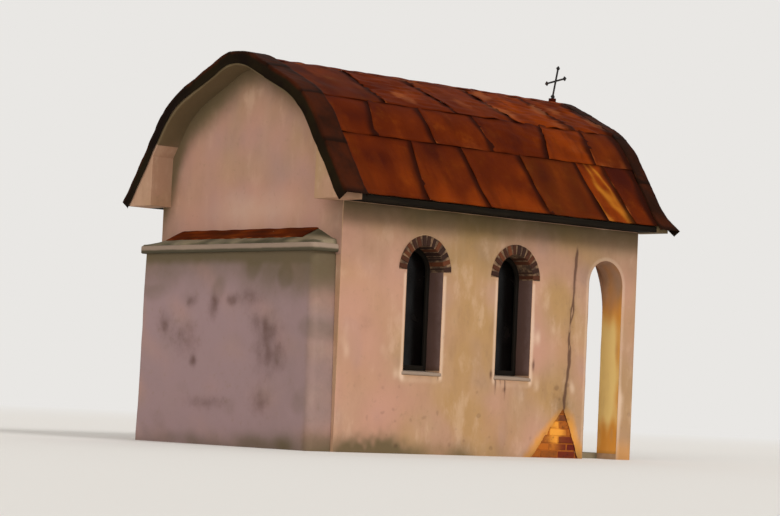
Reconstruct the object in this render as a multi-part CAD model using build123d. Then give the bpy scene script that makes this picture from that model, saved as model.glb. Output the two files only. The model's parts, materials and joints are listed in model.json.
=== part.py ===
from build123d import *
import math
import os

# A small plastered masonry chapel with an open arched porch at its west end.
# Millimetres. +X runs along the ridge towards the porch, +Y to the south, +Z up.
# The origin is on the ground, in the middle of the plan.

# Plan and heights
length = 4250
width = 2900
nave_length = 3250
wall = 280
east_wall_thickness = 300
front_thickness = 220

# Roof line, as a gambrel with a rounded knee and a rounded ridge
eave_overhang = 270
eave_height = 2530
eave_fascia = 70
knee_half = 1085
knee_above_eave = 970
peak_above_eave = 1490
knee_radius = 1000
ridge_radius = 650
vault_thickness = 140

# Projecting rims round the gables, standing proud of the roof
east_overhang = 270
west_overhang = 175
east_rim_rise = 45
west_rim_rise = 15
rim_thickness = 90
rim_half_opening = 1320

# Roof covering of rolled steel sheets in lapped rows
sheet = 4
seat = 0.3
sheet_gap = 2
sheet_drip = 15
lower_row = 660
middle_row = 360
row_lap = 60
lower_first = 870
lower_pitch = 850
middle_first = 550
middle_pitch = 790
upper_first = 900
upper_pitch = 900
ridge_first = 1500
ridge_pitch = 1450
ridge_half = 230
ridge_lap = 50
verge_depth = 75
verge_sheet = 4
verge_drip = 60
verge_flare = 125
verge_flare_height = 250

# Apse, battered, with a ledge and a sloping cap
apse_depth = 280
apse_half = 1370
apse_spread = 40
apse_corner = 70
apse_height = 1950
ledge_overhang = 50
ledge_thickness = 80
cap_edge = 15
cap_rise = 160
cap_setback = 8
cap_sheet = 3
cap_sheet_half = 1120

# Windows with round heads and brick arches
first_window = 1130
second_window = 2410
window_half = 250
window_cover = 260
sill_height = 820
sill_edge = 30
sill_slope = 25
brick_ring = 110
brick_proud = 12
reveal = 200
frame_width = 45
frame_depth = 50
fit_gap = 1
glass = 4

# Porch arches
side_arch_station = 3770
side_arch_half = 260
side_arch_cover = 340
front_arch_drop = 910

# Floors, doorway and door
nave_floor_top = 120
porch_floor_top = 60
threshold_depth = 330
door_half = 400
door_head = 2020
door_frame_width = 60
door_frame_depth = 100
door_frame_setback = 90
door_clearance = 3
door_thickness = 42
hinge_height = 40
hinge_thickness = 5
hinge_reach = 420
hinge_offset = 300
handle_height = 1050
handle_inset = 70
handle_plate = 34
handle_plate_height = 190
handle_plate_thickness = 4
handle_bar = 12
handle_grip = 110
handle_reach = 42

# Iron cross at the west end of the ridge
cross_setback = 115
socket_radius = 42
socket_height = 45
cross_height = 345
cross_bar_width = 18
cross_bar_thickness = 12
cross_arm_half = 140
cross_arm_height = 200
cross_arm_tilt = 8
cross_lean = 12
cross_tip = 38
cross_boss = 44

# Plaster fallen off at the foot of the north wall, where the porch begins
bare_start = 2730
bare_peak = 3200
bare_end = 3460
bare_height = 550
bare_depth = 18

# Values that follow from the driving dimensions
half_width = width / 2
wall_top = eave_height - eave_fascia
knee_height = eave_height + knee_above_eave
peak_height = eave_height + peak_above_eave
sky = 2 * peak_height
window_spring = wall_top - window_cover - window_half - brick_ring
side_arch_spring = wall_top - side_arch_cover - side_arch_half
front_arch_spring = wall_top - front_arch_drop
inner_half = half_width - wall
eave_half = half_width + eave_overhang
east_reach = max(apse_depth + ledge_overhang, east_overhang + verge_sheet)
west_reach = west_overhang + verge_flare + verge_sheet
east_face = (east_reach - west_reach - length) / 2
west_face = east_face + length
nave_end = east_face + nave_length
front_inner = west_face - front_thickness

os.makedirs("parts", exist_ok=True)


def save(shape, name):
    """Write one piece, or a set of like pieces, as its own STEP file."""
    shape.label = name
    export_step(shape, "parts/" + name + ".step")


def block(x0, x1, y0, y1, z0, z1):
    """A plain slab between two corners."""
    middle = Pos((x0 + x1) / 2, (y0 + y1) / 2, (z0 + z1) / 2)
    return middle * Box(x1 - x0, y1 - y0, z1 - z0)


def panel(a0, a1, b0, b1):
    """A rectangle in a sketch, between two corners."""
    return Pos((a0 + a1) / 2, (b0 + b1) / 2) * Rectangle(a1 - a0, b1 - b0)


def along_ridge(sketch, x0, x1):
    """Carry a cross section of the chapel along the ridge, from x0 to x1."""
    return extrude(Plane.YZ.offset(x0) * sketch, amount=x1 - x0)


def through_side(sketch, outer, depth):
    """Carry a side elevation inwards from the plane y = -outer, by depth."""
    return extrude(Plane.XZ.offset(outer) * sketch, amount=-depth)


def mirrored(shape):
    """The like piece on the south side."""
    return mirror(shape, about=Plane.XZ)


def roof_section(rise):
    """The region under the roof line, with the line moved outwards by rise."""
    flank = Vector(eave_half - knee_half, eave_height - knee_height).normalized()
    slope = Vector(knee_half, knee_height - peak_height).normalized()
    flank_out = Vector(-flank.Y, flank.X)
    slope_out = Vector(-slope.Y, slope.X)
    knee = Vector(knee_half, knee_height)
    turn = flank_out + slope_out
    knee_out = knee + turn * (rise / turn.dot(flank_out))
    peak_out = Vector(0, peak_height + rise / slope_out.Y)
    foot = knee_out + flank * (knee_out.Y / -flank.Y)
    points = [(-foot.X, 0), (-knee_out.X, knee_out.Y), (0, peak_out.Y), (knee_out.X, knee_out.Y), (foot.X, 0)]
    radii = [knee_radius + rise, ridge_radius + rise, knee_radius + rise]
    line = FilletPolyline(*points, radius=radii)
    return make_face(line + Line(points[-1], points[0]))


def half_disc(x, z, radius):
    """The upper half of a disc."""
    return Pos(x, z) * (Circle(radius) & panel(-2 * radius, 2 * radius, 0, 2 * radius))


def round_headed(x, half, bottom, spring):
    """A tall opening with a round head."""
    return panel(x - half, x + half, bottom, spring) + half_disc(x, spring, half)


# The hollow where the plaster has fallen off, across the joint of nave and porch
bare_points = [
    (east_face + bare_start, 0),
    (east_face + bare_peak, bare_height),
    (east_face + bare_end, 0),
]
bare_outline = make_face(Polyline(*bare_points, close=True))
bare_patch = through_side(bare_outline, half_width, bare_depth)

# Side walls of the nave, with their windows cut through
window_centres = [east_face + first_window, east_face + second_window]
sill_bottom = sill_height - sill_edge
ring_radius = window_half + brick_ring
elevation = panel(east_face, nave_end, 0, wall_top)
for x in window_centres:
    elevation -= panel(x - window_half, x + window_half, sill_bottom, window_spring)
    elevation -= half_disc(x, window_spring, ring_radius)
nave_side = through_side(elevation, half_width, wall)
save(nave_side - bare_patch, "north_wall")
save(mirrored(nave_side), "south_wall")

# Gable sections: the part above the wall tops spans the whole width
above_walls = roof_section(0) & panel(-half_width, half_width, wall_top, sky)
under_vault = roof_section(-vault_thickness) & panel(-inner_half, inner_half, 0, sky)

# East wall with its gable
east_section = panel(-inner_half, inner_half, 0, wall_top) + above_walls
save(along_ridge(east_section, east_face, east_face + east_wall_thickness), "east_wall")

# West wall of the nave, split beside and over the doorway
west_inner = nave_end - wall
save(block(west_inner, nave_end, -inner_half, -door_half, 0, door_head), "west_wall_north")
save(block(west_inner, nave_end, door_half, inner_half, 0, door_head), "west_wall_south")
head_section = roof_section(-vault_thickness - seat) & panel(-inner_half, inner_half, door_head, sky)
save(along_ridge(head_section, west_inner, nave_end), "west_wall_head")

# Porch side walls: a half pillar against the nave and an arched head over the corner pier
arch_x = east_face + side_arch_station
side = panel(nave_end, west_face, 0, wall_top)
side -= panel(arch_x - side_arch_half, west_face, 0, side_arch_spring)
side -= half_disc(arch_x, side_arch_spring, side_arch_half)
porch_side = through_side(side, half_width, wall)
save(porch_side - bare_patch, "porch_north_wall")
save(mirrored(porch_side), "porch_south_wall")

# Porch front: two corner piers, the wide arch and the west gable in one mass
front = panel(-half_width, half_width, 0, side_arch_spring)
front += panel(-inner_half, inner_half, side_arch_spring, wall_top)
front += above_walls
front -= panel(-inner_half, inner_half, 0, front_arch_spring)
front -= half_disc(0, front_arch_spring, inner_half)
save(along_ridge(front, front_inner, west_face), "porch_front")

# Vault over the nave and the porch, resting on the side walls
save(along_ridge(above_walls - under_vault, east_face + east_wall_thickness, front_inner), "vault")


def rim_section(rise):
    """The rim round a gable, raised above the roof, with its closed feet at the eaves."""
    outer = roof_section(rise) & panel(-eave_half, eave_half, wall_top, sky)
    inner = roof_section(-rim_thickness) & panel(-rim_half_opening, rim_half_opening, 0, sky)
    return outer - inner


save(along_ridge(rim_section(east_rim_rise), east_face - east_overhang, east_face), "east_rim")
save(along_ridge(rim_section(west_rim_rise), west_face, west_face + west_overhang), "west_rim")

# Closed eaves along both long sides
eave_section = roof_section(0) & panel(-eave_half, -half_width, wall_top, peak_height)
north_eave = along_ridge(eave_section, east_face, west_face)
save(north_eave, "north_eave")
save(mirrored(north_eave), "south_eave")


def apse_plan(depth, half, corner):
    """The apse in plan: square at the wall, with rounded outer corners."""
    front_x = east_face - depth
    points = [(east_face, -half), (front_x, -half), (front_x, half), (east_face, half)]
    line = FilletPolyline(*points, radius=corner)
    return make_face(line + Line(points[-1], points[0]))


# Apse: a battered block, its ledge, and a sloping cap with a sheet on it
apse_foot = apse_plan(apse_depth, apse_half + apse_spread, apse_corner)
apse_head = Pos(0, 0, apse_height) * apse_plan(apse_depth, apse_half, apse_corner)
save(loft([apse_foot, apse_head]), "apse")
ledge_depth = apse_depth + ledge_overhang
ledge_half = apse_half + ledge_overhang
ledge_plan = Pos(0, 0, apse_height) * apse_plan(ledge_depth, ledge_half, apse_corner)
save(extrude(ledge_plan, amount=ledge_thickness), "apse_ledge")
cap_bottom = apse_height + ledge_thickness
cap_front = east_face - ledge_depth + cap_setback + apse_corner / 3
cap_half_width = ledge_half - cap_setback - apse_corner / 3
cap_points = [
    (cap_front, cap_bottom),
    (cap_front, cap_bottom + cap_edge),
    (east_face, cap_bottom + cap_edge + cap_rise),
    (east_face, cap_bottom),
]
cap_profile = make_face(Polyline(*cap_points, close=True))
save(through_side(cap_profile, cap_half_width, 2 * cap_half_width), "apse_cap")
sheet_points = [
    (cap_front, cap_bottom + cap_edge + seat),
    (cap_front, cap_bottom + cap_edge + seat + cap_sheet),
    (east_face, cap_bottom + cap_edge + cap_rise + seat + cap_sheet),
    (east_face, cap_bottom + cap_edge + cap_rise + seat),
]
cap_sheet_profile = make_face(Polyline(*sheet_points, close=True))
save(through_side(cap_sheet_profile, cap_sheet_half, 2 * cap_sheet_half), "apse_cap_sheet")


def both_windows(piece):
    """The same piece at each window of the north wall."""
    return Compound(children=[piece(x) for x in window_centres])


def window_arch(x):
    """The brick ring over one window, seated on the shoulders of the wall."""
    ring = half_disc(x, window_spring, ring_radius - seat) - half_disc(x, window_spring, window_half)
    return through_side(ring, half_width + brick_proud, wall + brick_proud)


def window_sill(x):
    """The sill of one window, sloping outwards in front of the frame."""
    frame_face = -half_width + reveal
    frame_seat = sill_height + sill_slope
    points = [
        (-half_width, sill_bottom),
        (-half_width, sill_height),
        (frame_face, frame_seat),
        (-inner_half, frame_seat),
        (-inner_half, sill_bottom),
    ]
    profile = make_face(Polyline(*points, close=True))
    return along_ridge(profile, x - window_half, x + window_half)


def window_frame(x):
    """The round-headed frame of one window, set back in the reveal."""
    frame_seat = sill_height + sill_slope + seat
    outer = round_headed(x, window_half - fit_gap / 2, frame_seat, window_spring)
    light = round_headed(x, window_half - frame_width, frame_seat + frame_width, window_spring)
    return through_side(outer - light, half_width - reveal, frame_depth)


def window_glass(x):
    """The pane of one window, in the middle of its frame."""
    bottom = sill_height + sill_slope + seat + frame_width + seat
    pane = round_headed(x, window_half - frame_width - seat, bottom, window_spring)
    outer = half_width - reveal - (frame_depth - glass) / 2
    return through_side(pane, outer, glass)


window_pieces = {
    "window_arches": window_arch,
    "window_sills": window_sill,
    "window_frames": window_frame,
    "window_glass": window_glass,
}
for name, piece in window_pieces.items():
    north_pieces = both_windows(piece)
    save(north_pieces, "north_" + name)
    save(mirrored(north_pieces), "south_" + name)

# Floors and the threshold
nave_floor = block(east_face + east_wall_thickness, west_inner, -inner_half, inner_half, 0, nave_floor_top)
save(nave_floor, "nave_floor")
threshold_end = west_inner + threshold_depth
porch_floor = block(nave_end, west_face, -inner_half, inner_half, 0, porch_floor_top)
porch_floor -= block(nave_end, threshold_end, -door_half, door_half, 0, porch_floor_top)
save(porch_floor, "porch_floor")
save(block(west_inner, threshold_end, -door_half, door_half, 0, nave_floor_top), "door_threshold")

# Door frame, leaf, strap hinges and handle, on the porch side of the wall
frame_west = nave_end - door_frame_setback
frame_east = frame_west - door_frame_depth
frame_half = door_half - fit_gap / 2
frame_bottom = nave_floor_top + seat
frame_section = panel(-frame_half, frame_half, frame_bottom, door_head - fit_gap / 2)
leaf_opening = frame_half - door_frame_width
frame_section -= panel(-leaf_opening, leaf_opening, 0, door_head - door_frame_width)
save(along_ridge(frame_section, frame_east, frame_west), "door_frame")
leaf_half = leaf_opening - door_clearance
leaf_bottom = nave_floor_top + door_clearance
leaf_top = door_head - door_frame_width - door_clearance
leaf = block(frame_west - door_thickness, frame_west, -leaf_half, leaf_half, leaf_bottom, leaf_top)
save(leaf, "door_leaf")
strap_start = -leaf_opening - door_frame_width / 2
strap_x = frame_west + seat
straps = []
for z in (leaf_bottom + hinge_offset, leaf_top - hinge_offset):
    strap = panel(strap_start, strap_start + hinge_reach, z - hinge_height / 2, z + hinge_height / 2)
    tip = Pos(strap_start + hinge_reach, z) * Circle(hinge_height / 2)
    straps.append(along_ridge(strap + tip, strap_x, strap_x + hinge_thickness))
save(Compound(children=straps), "door_hinges")
handle_y = leaf_half - handle_inset
plate = Pos(handle_y, handle_height) * Rectangle(handle_plate, handle_plate_height)
plate_x = strap_x + handle_plate_thickness
bow = Rectangle(2 * handle_reach, handle_grip)
bow -= Rectangle(2 * (handle_reach - handle_bar), handle_grip - 2 * handle_bar)
bow &= panel(0, handle_reach, -handle_grip, handle_grip)
bow = Pos(plate_x, handle_height) * bow
handle = along_ridge(plate, strap_x, plate_x)
handle += through_side(bow, handle_bar / 2 - handle_y, handle_bar)
save(handle, "door_handle")


def sheet_row(first, pitch, rise, zone):
    """One row of curved sheets side by side, from rim to rim."""
    ring = (roof_section(rise + sheet) - roof_section(rise)) & zone
    seams = [first + number * pitch for number in range(round((length - first) / pitch))]
    edges = [0, *seams, length]
    row = []
    for x0, x1 in zip(edges, edges[1:]):
        row.append(along_ridge(ring, east_face + x0 + sheet_gap / 2, east_face + x1 - sheet_gap / 2))
    return Compound(children=row)


# Roof covering between the rims: three lapped rows of sheets on each side and the ridge cap
drip_height = eave_height - sheet_drip
lower_lap = eave_height + lower_row
middle_lap = lower_lap + middle_row
sheet_rises = [number * (sheet + seat) + seat for number in range(4)]
lower_zone = panel(-sky, -ridge_half, drip_height, lower_lap)
middle_zone = panel(-sky, -ridge_half, lower_lap - row_lap, middle_lap)
upper_zone = panel(-sky, ridge_lap - ridge_half, middle_lap - row_lap, sky)
ridge_zone = panel(-ridge_half, ridge_half, 0, sky)
rows = {
    "lower_sheets": (lower_first, lower_pitch, sheet_rises[0], lower_zone),
    "middle_sheets": (middle_first, middle_pitch, sheet_rises[1], middle_zone),
    "upper_sheets": (upper_first, upper_pitch, sheet_rises[2], upper_zone),
}
for name, row_values in rows.items():
    north_row = sheet_row(*row_values)
    save(north_row, "north_" + name)
    save(mirrored(north_row), "south_" + name)
save(sheet_row(ridge_first, ridge_pitch, sheet_rises[3], ridge_zone), "ridge_sheets")


def verge_cover(rise, rim_root, rim_end):
    """The sheet over one rim, folded down over its outer face and hanging past its feet."""
    outward = math.copysign(1, rim_end - rim_root)
    over = roof_section(rise + seat + verge_sheet) & panel(-sky, sky, hang_height, sky)
    top = over - roof_section(rise + seat)
    fold = over - roof_section(-verge_depth)
    fold_root = rim_end + outward * seat
    cover = along_ridge(top, *sorted([rim_root, fold_root]))
    return cover + along_ridge(fold, *sorted([fold_root, rim_end + outward * verge_sheet]))


def flared_feet(rise, rim_end):
    """The tongues of the west cover that stick out past the rim at its two feet."""
    tip = rim_end + verge_flare + verge_sheet
    foot = panel(-sky, sky, hang_height, hang_height + verge_flare_height)
    tongue = (roof_section(rise + seat + verge_sheet) - roof_section(rise + seat)) & foot
    side_points = [(rim_end, hang_height), (tip, hang_height), (rim_end, hang_height + verge_flare_height)]
    side_view = make_face(Polyline(*side_points, close=True))
    return along_ridge(tongue, rim_end + seat, tip) & through_side(side_view, sky, 2 * sky)


hang_height = eave_height - verge_drip
save(verge_cover(east_rim_rise, east_face, east_face - east_overhang), "east_verge")
west_end = west_face + west_overhang
west_cover = verge_cover(west_rim_rise, west_face, west_end) + flared_feet(west_rim_rise, west_end)
save(west_cover, "west_verge")

# Iron cross, leaning, in a socket on top of the west rim
rise_angle = Vector(knee_half, peak_height - knee_height).get_angle(Vector(1, 0))
ridge_drop = ridge_radius * (1 / math.cos(math.radians(rise_angle)) - 1)
cover_top = west_rim_rise + seat + verge_sheet
socket_top = peak_height - ridge_drop + cover_top + socket_height
cross_x = west_face + west_overhang - cross_setback
socket = Pos(cross_x, 0, socket_top) * Cylinder(
    socket_radius, 2 * socket_height, align=(Align.CENTER, Align.CENTER, Align.MAX)
)
socket -= along_ridge(roof_section(cover_top + seat), cross_x - length, cross_x + length)
save(socket, "cross_socket")


def bar_with_tips(low, high, tips):
    """A flat bar up the sketch from low to high, with a lozenge at each of the given ends."""
    bar = panel(-cross_bar_width / 2, cross_bar_width / 2, low, high)
    for end in tips:
        bar += Pos(0, end) * Rectangle(cross_tip, cross_tip, rotation=45)
    return bar


shaft = bar_with_tips(0, cross_height, [cross_height])
shaft += Pos(0, cross_boss / 2) * Rectangle(cross_boss, cross_boss, rotation=45)
arms = bar_with_tips(-cross_arm_half, cross_arm_half, [-cross_arm_half, cross_arm_half])
arms = Pos(0, cross_arm_height) * Rot(0, 0, 90 - cross_lean - cross_arm_tilt) * arms
outline = Pos(0, socket_top) * Rot(0, 0, cross_lean) * (shaft + arms)
cross = along_ridge(outline, cross_x - cross_bar_thickness / 2, cross_x + cross_bar_thickness / 2)
cross -= block(cross_x - length, cross_x + length, -length, length, 0, socket_top + seat)
save(cross, "roof_cross")
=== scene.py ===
import json
import math

import bpy
import numpy as np
from mathutils import Matrix, Vector


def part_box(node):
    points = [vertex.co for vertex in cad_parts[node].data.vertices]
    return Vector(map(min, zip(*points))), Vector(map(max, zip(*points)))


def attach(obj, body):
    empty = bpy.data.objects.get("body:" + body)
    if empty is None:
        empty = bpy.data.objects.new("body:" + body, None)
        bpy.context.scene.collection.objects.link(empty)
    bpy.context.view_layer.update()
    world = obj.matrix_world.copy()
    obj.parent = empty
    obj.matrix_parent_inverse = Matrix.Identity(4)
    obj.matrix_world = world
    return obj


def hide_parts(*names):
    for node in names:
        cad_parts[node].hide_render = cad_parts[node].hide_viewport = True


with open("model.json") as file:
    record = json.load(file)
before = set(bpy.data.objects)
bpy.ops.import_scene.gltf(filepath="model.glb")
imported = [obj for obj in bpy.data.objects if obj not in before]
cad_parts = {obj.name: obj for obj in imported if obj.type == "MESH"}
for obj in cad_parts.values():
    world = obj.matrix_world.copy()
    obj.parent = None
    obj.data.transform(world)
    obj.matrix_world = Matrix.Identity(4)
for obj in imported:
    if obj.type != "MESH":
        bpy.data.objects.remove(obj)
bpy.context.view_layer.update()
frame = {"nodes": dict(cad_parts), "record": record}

bl_info = {
    "name": "Small chapel",
    "version": (1, 0, 0),
    "blender": (4, 5, 0),
    "location": "View3D > Sidebar > Chapel",
    "description": "Plaster, brick, rusty sheet roof, joinery and iron for a small plastered chapel",
    "category": "Object",
}

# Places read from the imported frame, in metres
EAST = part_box("east_wall")[0].x
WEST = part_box("porch_front")[1].x
HALF_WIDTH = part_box("porch_front")[1].y
INNER_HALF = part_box("nave_floor")[1].y
WALL_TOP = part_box("north_wall")[1].z
RIDGE_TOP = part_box("east_wall")[1].z
EAVE_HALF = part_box("south_eave")[1].y
PIER_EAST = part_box("porch_front")[0].x
SILL_LOW, SILL_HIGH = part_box("north_window_sills")
RING_LOW, RING_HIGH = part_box("north_window_arches")
LEDGE_LOW, LEDGE_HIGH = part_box("apse_ledge")
APSE_LOW, APSE_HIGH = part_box("apse")
CAP_LOW, CAP_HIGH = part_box("apse_cap")
EAST_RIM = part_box("east_rim")[0].x
WEST_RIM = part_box("west_rim")[1].x

# Both long sides: their direction along Y, and how the names of their nodes start
SIDES = ((-1, "north"), (1, "south"))

# The point that surfaces face away from where no other is given, and the height of one far over the roof
CENTRE = (0.0, 0.0, 1.5)
FAR_UP = 40.0

# Length of the roof between its rims, rounding of the apse's corners, height of the porch floor, depth of
# the window reveals, overlap of two sheets in a row, and how far a piece keeps inside its box
WALL_LENGTH = 4.25
APSE_CORNER = 0.07
REVEAL_FOOT = 0.06
REVEAL_DEPTH = 0.2
SIDE_LAP = 0.05
CLEAR = 0.002

# The camera of the photograph, worked out from it: its place, its direction and its field of view
CAMERA_PLACE = (-19.207, -21.133, 0.48)
CAMERA_YAW = 36.345
CAMERA_PITCH = 9.913
CAMERA_ROLL = 1.186
PHOTO_FOCAL = 821.8
PHOTO_SIZE = (780, 516)
PHOTO_AIM = (218.0, 351.0)
PHOTO_ZOOM = 3.25
SENSOR = 36.0

# Plaster: its least depth, how far it sinks at its edges, where it rounds there, and its room under the roof
THINNEST = 0.0012
SUNK = 0.001
ROUNDING = (-0.002, 0.022)
UNDER_ROOF = 0.05

# Spacing of the points along a roof sheet, across and down, and along the roof line
SHEET_MESH = (0.022, 0.024)
LINE_STEP = 0.0005

# Width in millimetres of one cloud of the noise node at scale one
CLOUD_MM = 500

# The patch that lost its plaster, by its distances from the east wall, and the depth of its floor
BARE_START, BARE_PEAK, BARE_END = 2.73, 3.20, 3.46
BARE_FLOOR = HALF_WIDTH - 0.018
CRACK = EAST + 3.215


def linear(code):
    """An sRGB hex colour as linear red, green, blue and a full alpha."""
    srgb = np.array([int(code[place:place + 2], 16) for place in (0, 2, 4)]) / 255
    rgb = np.where(srgb <= 0.04045, srgb / 12.92, ((srgb + 0.055) / 1.055) ** 2.4)
    return (*rgb.tolist(), 1.0)


def length_property(name, description, default):
    """One size of the add-on's sidebar, in metres."""
    return bpy.props.FloatProperty(name=name, description=description, default=default, unit="LENGTH")


def colour_property(name, description, code):
    """One colour of the add-on's sidebar, given as sRGB hex."""
    return bpy.props.FloatVectorProperty(
        name=name, description=description, default=linear(code), size=4, min=0.0, max=1.0, subtype="COLOR"
    )


class ChapelSizes(bpy.types.PropertyGroup):
    """Sizes that the dressing needs besides those of the frame."""

    eave_height: length_property("Eave height", "Height of the roof line at the eaves", 2.53)
    knee_half: length_property("Knee half width", "Half width of the roof line at its knee", 1.085)
    knee_height: length_property("Knee height", "Height of the knee before it is rounded", 3.50)
    peak_height: length_property("Peak height", "Height of the ridge before it is rounded", 4.02)
    knee_radius: length_property("Knee radius", "Rounding of the knee", 1.0)
    ridge_radius: length_property("Ridge radius", "Rounding of the ridge", 0.65)
    window_half: length_property("Window half width", "Half width of a window opening", 0.25)
    brick_ring: length_property("Brick ring", "Height of the brick arch over a window", 0.11)
    arch_half: length_property("Side arch half width", "Half width of the porch's side arch", 0.26)
    arch_spring: length_property("Side arch spring", "Height where the side arch starts to curve", 1.86)
    front_spring: length_property("Front arch spring", "Height where the wide arch starts to curve", 1.55)
    plaster_coat: length_property("Plaster coat", "Mean thickness of the last coat over the wall", 0.0045)
    plaster_wave: length_property("Plaster unevenness", "How far the coat swells and dips", 0.003)
    plaster_mesh: length_property("Plaster mesh", "Spacing of the points of a plaster surface", 0.0125)
    sheet_gauge: length_property("Sheet gauge", "Thickness of the roof sheets as drawn", 0.002)
    sheet_bulge: length_property("Sheet bulge", "How far a roof sheet swells between its nails", 0.009)
    lap_lift: length_property("Lap lift", "How far a sheet's free edge stands off its neighbour", 0.009)
    # Painted shade and dirt: the width of the darkening beside each overlapping edge of the roof
    seam_shade: length_property("Seam shade", "Width of the dark grime beside a seam of the roof", 0.14)
    flare: length_property("Flare", "How far the west cover sticks out past its rim at the feet", 0.111)
    flare_height: length_property("Flare height", "Height over which that cover flares", 0.25)
    row_lap: length_property("Row lap", "Overlap of one row of sheets on the row below", 0.06)
    bare_height: length_property("Bare patch height", "Height of the patch that lost its plaster", 0.55)


class ChapelColours(bpy.types.PropertyGroup):
    """Colours of the finishes."""

    limewash: colour_property("Limewash", "Walls", "B28A6F")
    blush: colour_property("Pink wash", "Pinker patches of the walls", "BF8E7A")
    damp: colour_property("Damp plaster", "Mauve-grey damp patches", "9C8283")
    # Orange that is painted sunlight in the porch and round the lost plaster, besides the bare bricks' own
    # orange
    ochre: colour_property("Ochre stain", "Golden stain in the porch and round the lost plaster", "E4993A")
    # Dirt at the foot of the walls; the same colour is painted shade under eaves, rims and ledge and in
    # reveals
    soil: colour_property("Soil splash", "Foot of the walls", "5C5034")
    rust: colour_property("Rust", "Roof sheets", "541C04")
    rust_bright: colour_property("Bright rust", "Freshly rusted patches", "7C3208")
    # Also painted shade beside and under the overlapping edges
    rust_dark: colour_property("Dark rust", "Laps and old patches", "200803")
    flashing: colour_property("Flashing", "Covers of the rims", "150C07")
    brick: colour_property("Brick", "Arches over the windows", "45220F")
    cement: colour_property("Cement", "Ledge, sills and floors", "8A7C62")
    timber: colour_property("Timber", "Eave boards and frames", "120D07")
    iron: colour_property("Iron", "Cross and door furniture", "1A1514")


def smooth_step(value, low, high):
    """Nought below low, one above high, and a soft curve between them."""
    t = np.clip((value - low) / (high - low), 0.0, 1.0)
    return t * t * (3 - 2 * t)


def fade(value, low, high):
    """One below low, nought above high, and the same soft curve between them."""
    return 1 - smooth_step(value, low, high)


def band(u, middle, wide):
    """A soft stripe: e to the power of minus the squared distance from its middle, counted in widths."""
    return np.exp(-(((u - middle) / wide) ** 2))


def spots(u, v, *marks):
    """The sum of soft round spots, each given by its middle, its width, its height and its weight."""
    total = 0.0
    for middle, level, wide, tall, weight in marks:
        total = total + weight * np.exp(-(((u - middle) / wide) ** 2 + ((v - level) / tall) ** 2))
    return total


def swell(a, b, wave, seed):
    """Soft unevenness over two coordinates: nine plane waves of random direction, near one length, summed."""
    count = 9
    draw = np.random.default_rng(seed)
    turns, phases = draw.uniform(0, 2 * np.pi, count), draw.uniform(0, 2 * np.pi, count)
    total = np.zeros(np.broadcast(a, b).shape)
    for turn, phase, stretch in zip(turns, phases, draw.uniform(0.7, 1.4, count)):
        pull = 2 * np.pi / (wave * stretch)
        total += np.sin(pull * (a * np.cos(turn) + b * np.sin(turn)) + phase)
    return total / math.sqrt(count)


def waver(a, wave, seed):
    """Soft unevenness along one coordinate."""
    return swell(a, 0 * a, wave, seed)


class Surface:
    """Points, four-sided and three-sided faces, and named values at the points.

    The faces are turned to point away from core: the sum of each face's area vector with its place
    seen from core is made positive, which on a closed surface holds for any core.
    """

    def __init__(self, points, quads, tris=None, core=CENTRE, fields=None):
        self.points = points
        self.quads = quads
        self.tris = np.zeros((0, 3), int) if tris is None else tris
        self.fields = fields or {}
        total = 0.0
        for faces in (self.quads, self.tris):
            corner = points[faces]
            if len(faces):
                area = np.cross(corner[:, 2] - corner[:, 0], corner[:, -1] - corner[:, 1])
                total += (area * (corner.mean(axis=1) - core)).sum()
        if total < 0:
            self.quads = self.quads[:, ::-1]
            self.tris = self.tris[:, ::-1]


def grid(x, y, z, core=CENTRE, **fields):
    """An open surface from the coordinates of its points on a grid of two parameters."""
    points = np.stack([x, y, z], axis=-1)
    rows, columns, _ = points.shape
    index = np.arange(rows * columns).reshape(rows, columns)
    quads = np.stack([index[:-1, :-1], index[1:, :-1], index[1:, 1:], index[:-1, 1:]], axis=-1)
    values = {name: np.broadcast_to(value, (rows, columns)).ravel() for name, value in fields.items()}
    return Surface(points.reshape(-1, 3), quads.reshape(-1, 4), core=core, fields=values)


def tube(rings, **fields):
    """A closed surface through rings of points, with each end closed on its middle."""
    count, around, _ = rings.shape
    ring = np.arange(count * around).reshape(count, around)
    after = np.roll(ring, -1, axis=1)
    quads = np.stack([ring[:-1], after[:-1], after[1:], ring[1:]], axis=-1).reshape(-1, 4)
    points = np.concatenate([rings.reshape(-1, 3), rings[[0, -1]].mean(axis=1)])
    first = np.full(around, count * around)
    start = np.stack([after[0], ring[0], first], axis=-1)
    stop = np.stack([ring[-1], after[-1], first + 1], axis=-1)
    values = {}
    for name, value in fields.items():
        spread = np.broadcast_to(value, (count, around))
        values[name] = np.append(spread.ravel(), spread[[0, -1]].mean(axis=1))
    return Surface(points, quads, np.concatenate([start, stop]), fields=values)


def bar(start, end, across, width, depth, round_off, stations=2, bend=0.0, seed=0, **fields):
    """A board, brick or iron bar.

    A rectangle with rounded corners is carried along the straight line from start to end, drawn in
    over the rounding at both ends, and moved off the line by a soft unevenness of size bend.
    """
    start, end, across = (np.asarray(value, float) for value in (start, end, across))
    length = np.linalg.norm(end - start)
    along = (end - start) / length
    depthwise = np.cross(along, across)
    half = np.array([width, depth]) / 2
    corner = np.array([(0, 1.0), (0.3, 0.3), (1.0, 0)]) * round_off
    loop = []
    for sign_a, sign_b, order in ((1, 1, 1), (-1, 1, -1), (-1, -1, 1), (1, -1, -1)):
        loop.append((half - corner)[::order] * (sign_a, sign_b))
    loop = np.concatenate(loop)
    step = np.linspace(round_off, length - round_off, stations)
    place = np.concatenate([[0], step, [length]])
    scale = np.ones((len(place), 1, 2))
    scale[[0, -1]] = 1 - round_off / half
    section = loop[None] * scale
    drift = np.stack([waver(place, 1.3, seed), swell(place, 0 * place + 7, 1.3, seed + 1)], axis=-1)
    section = section + bend * drift[:, None]
    rings = start + place[:, None, None] * along + section[..., :1] * across + section[..., 1:] * depthwise
    return tube(rings, **fields)


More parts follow.
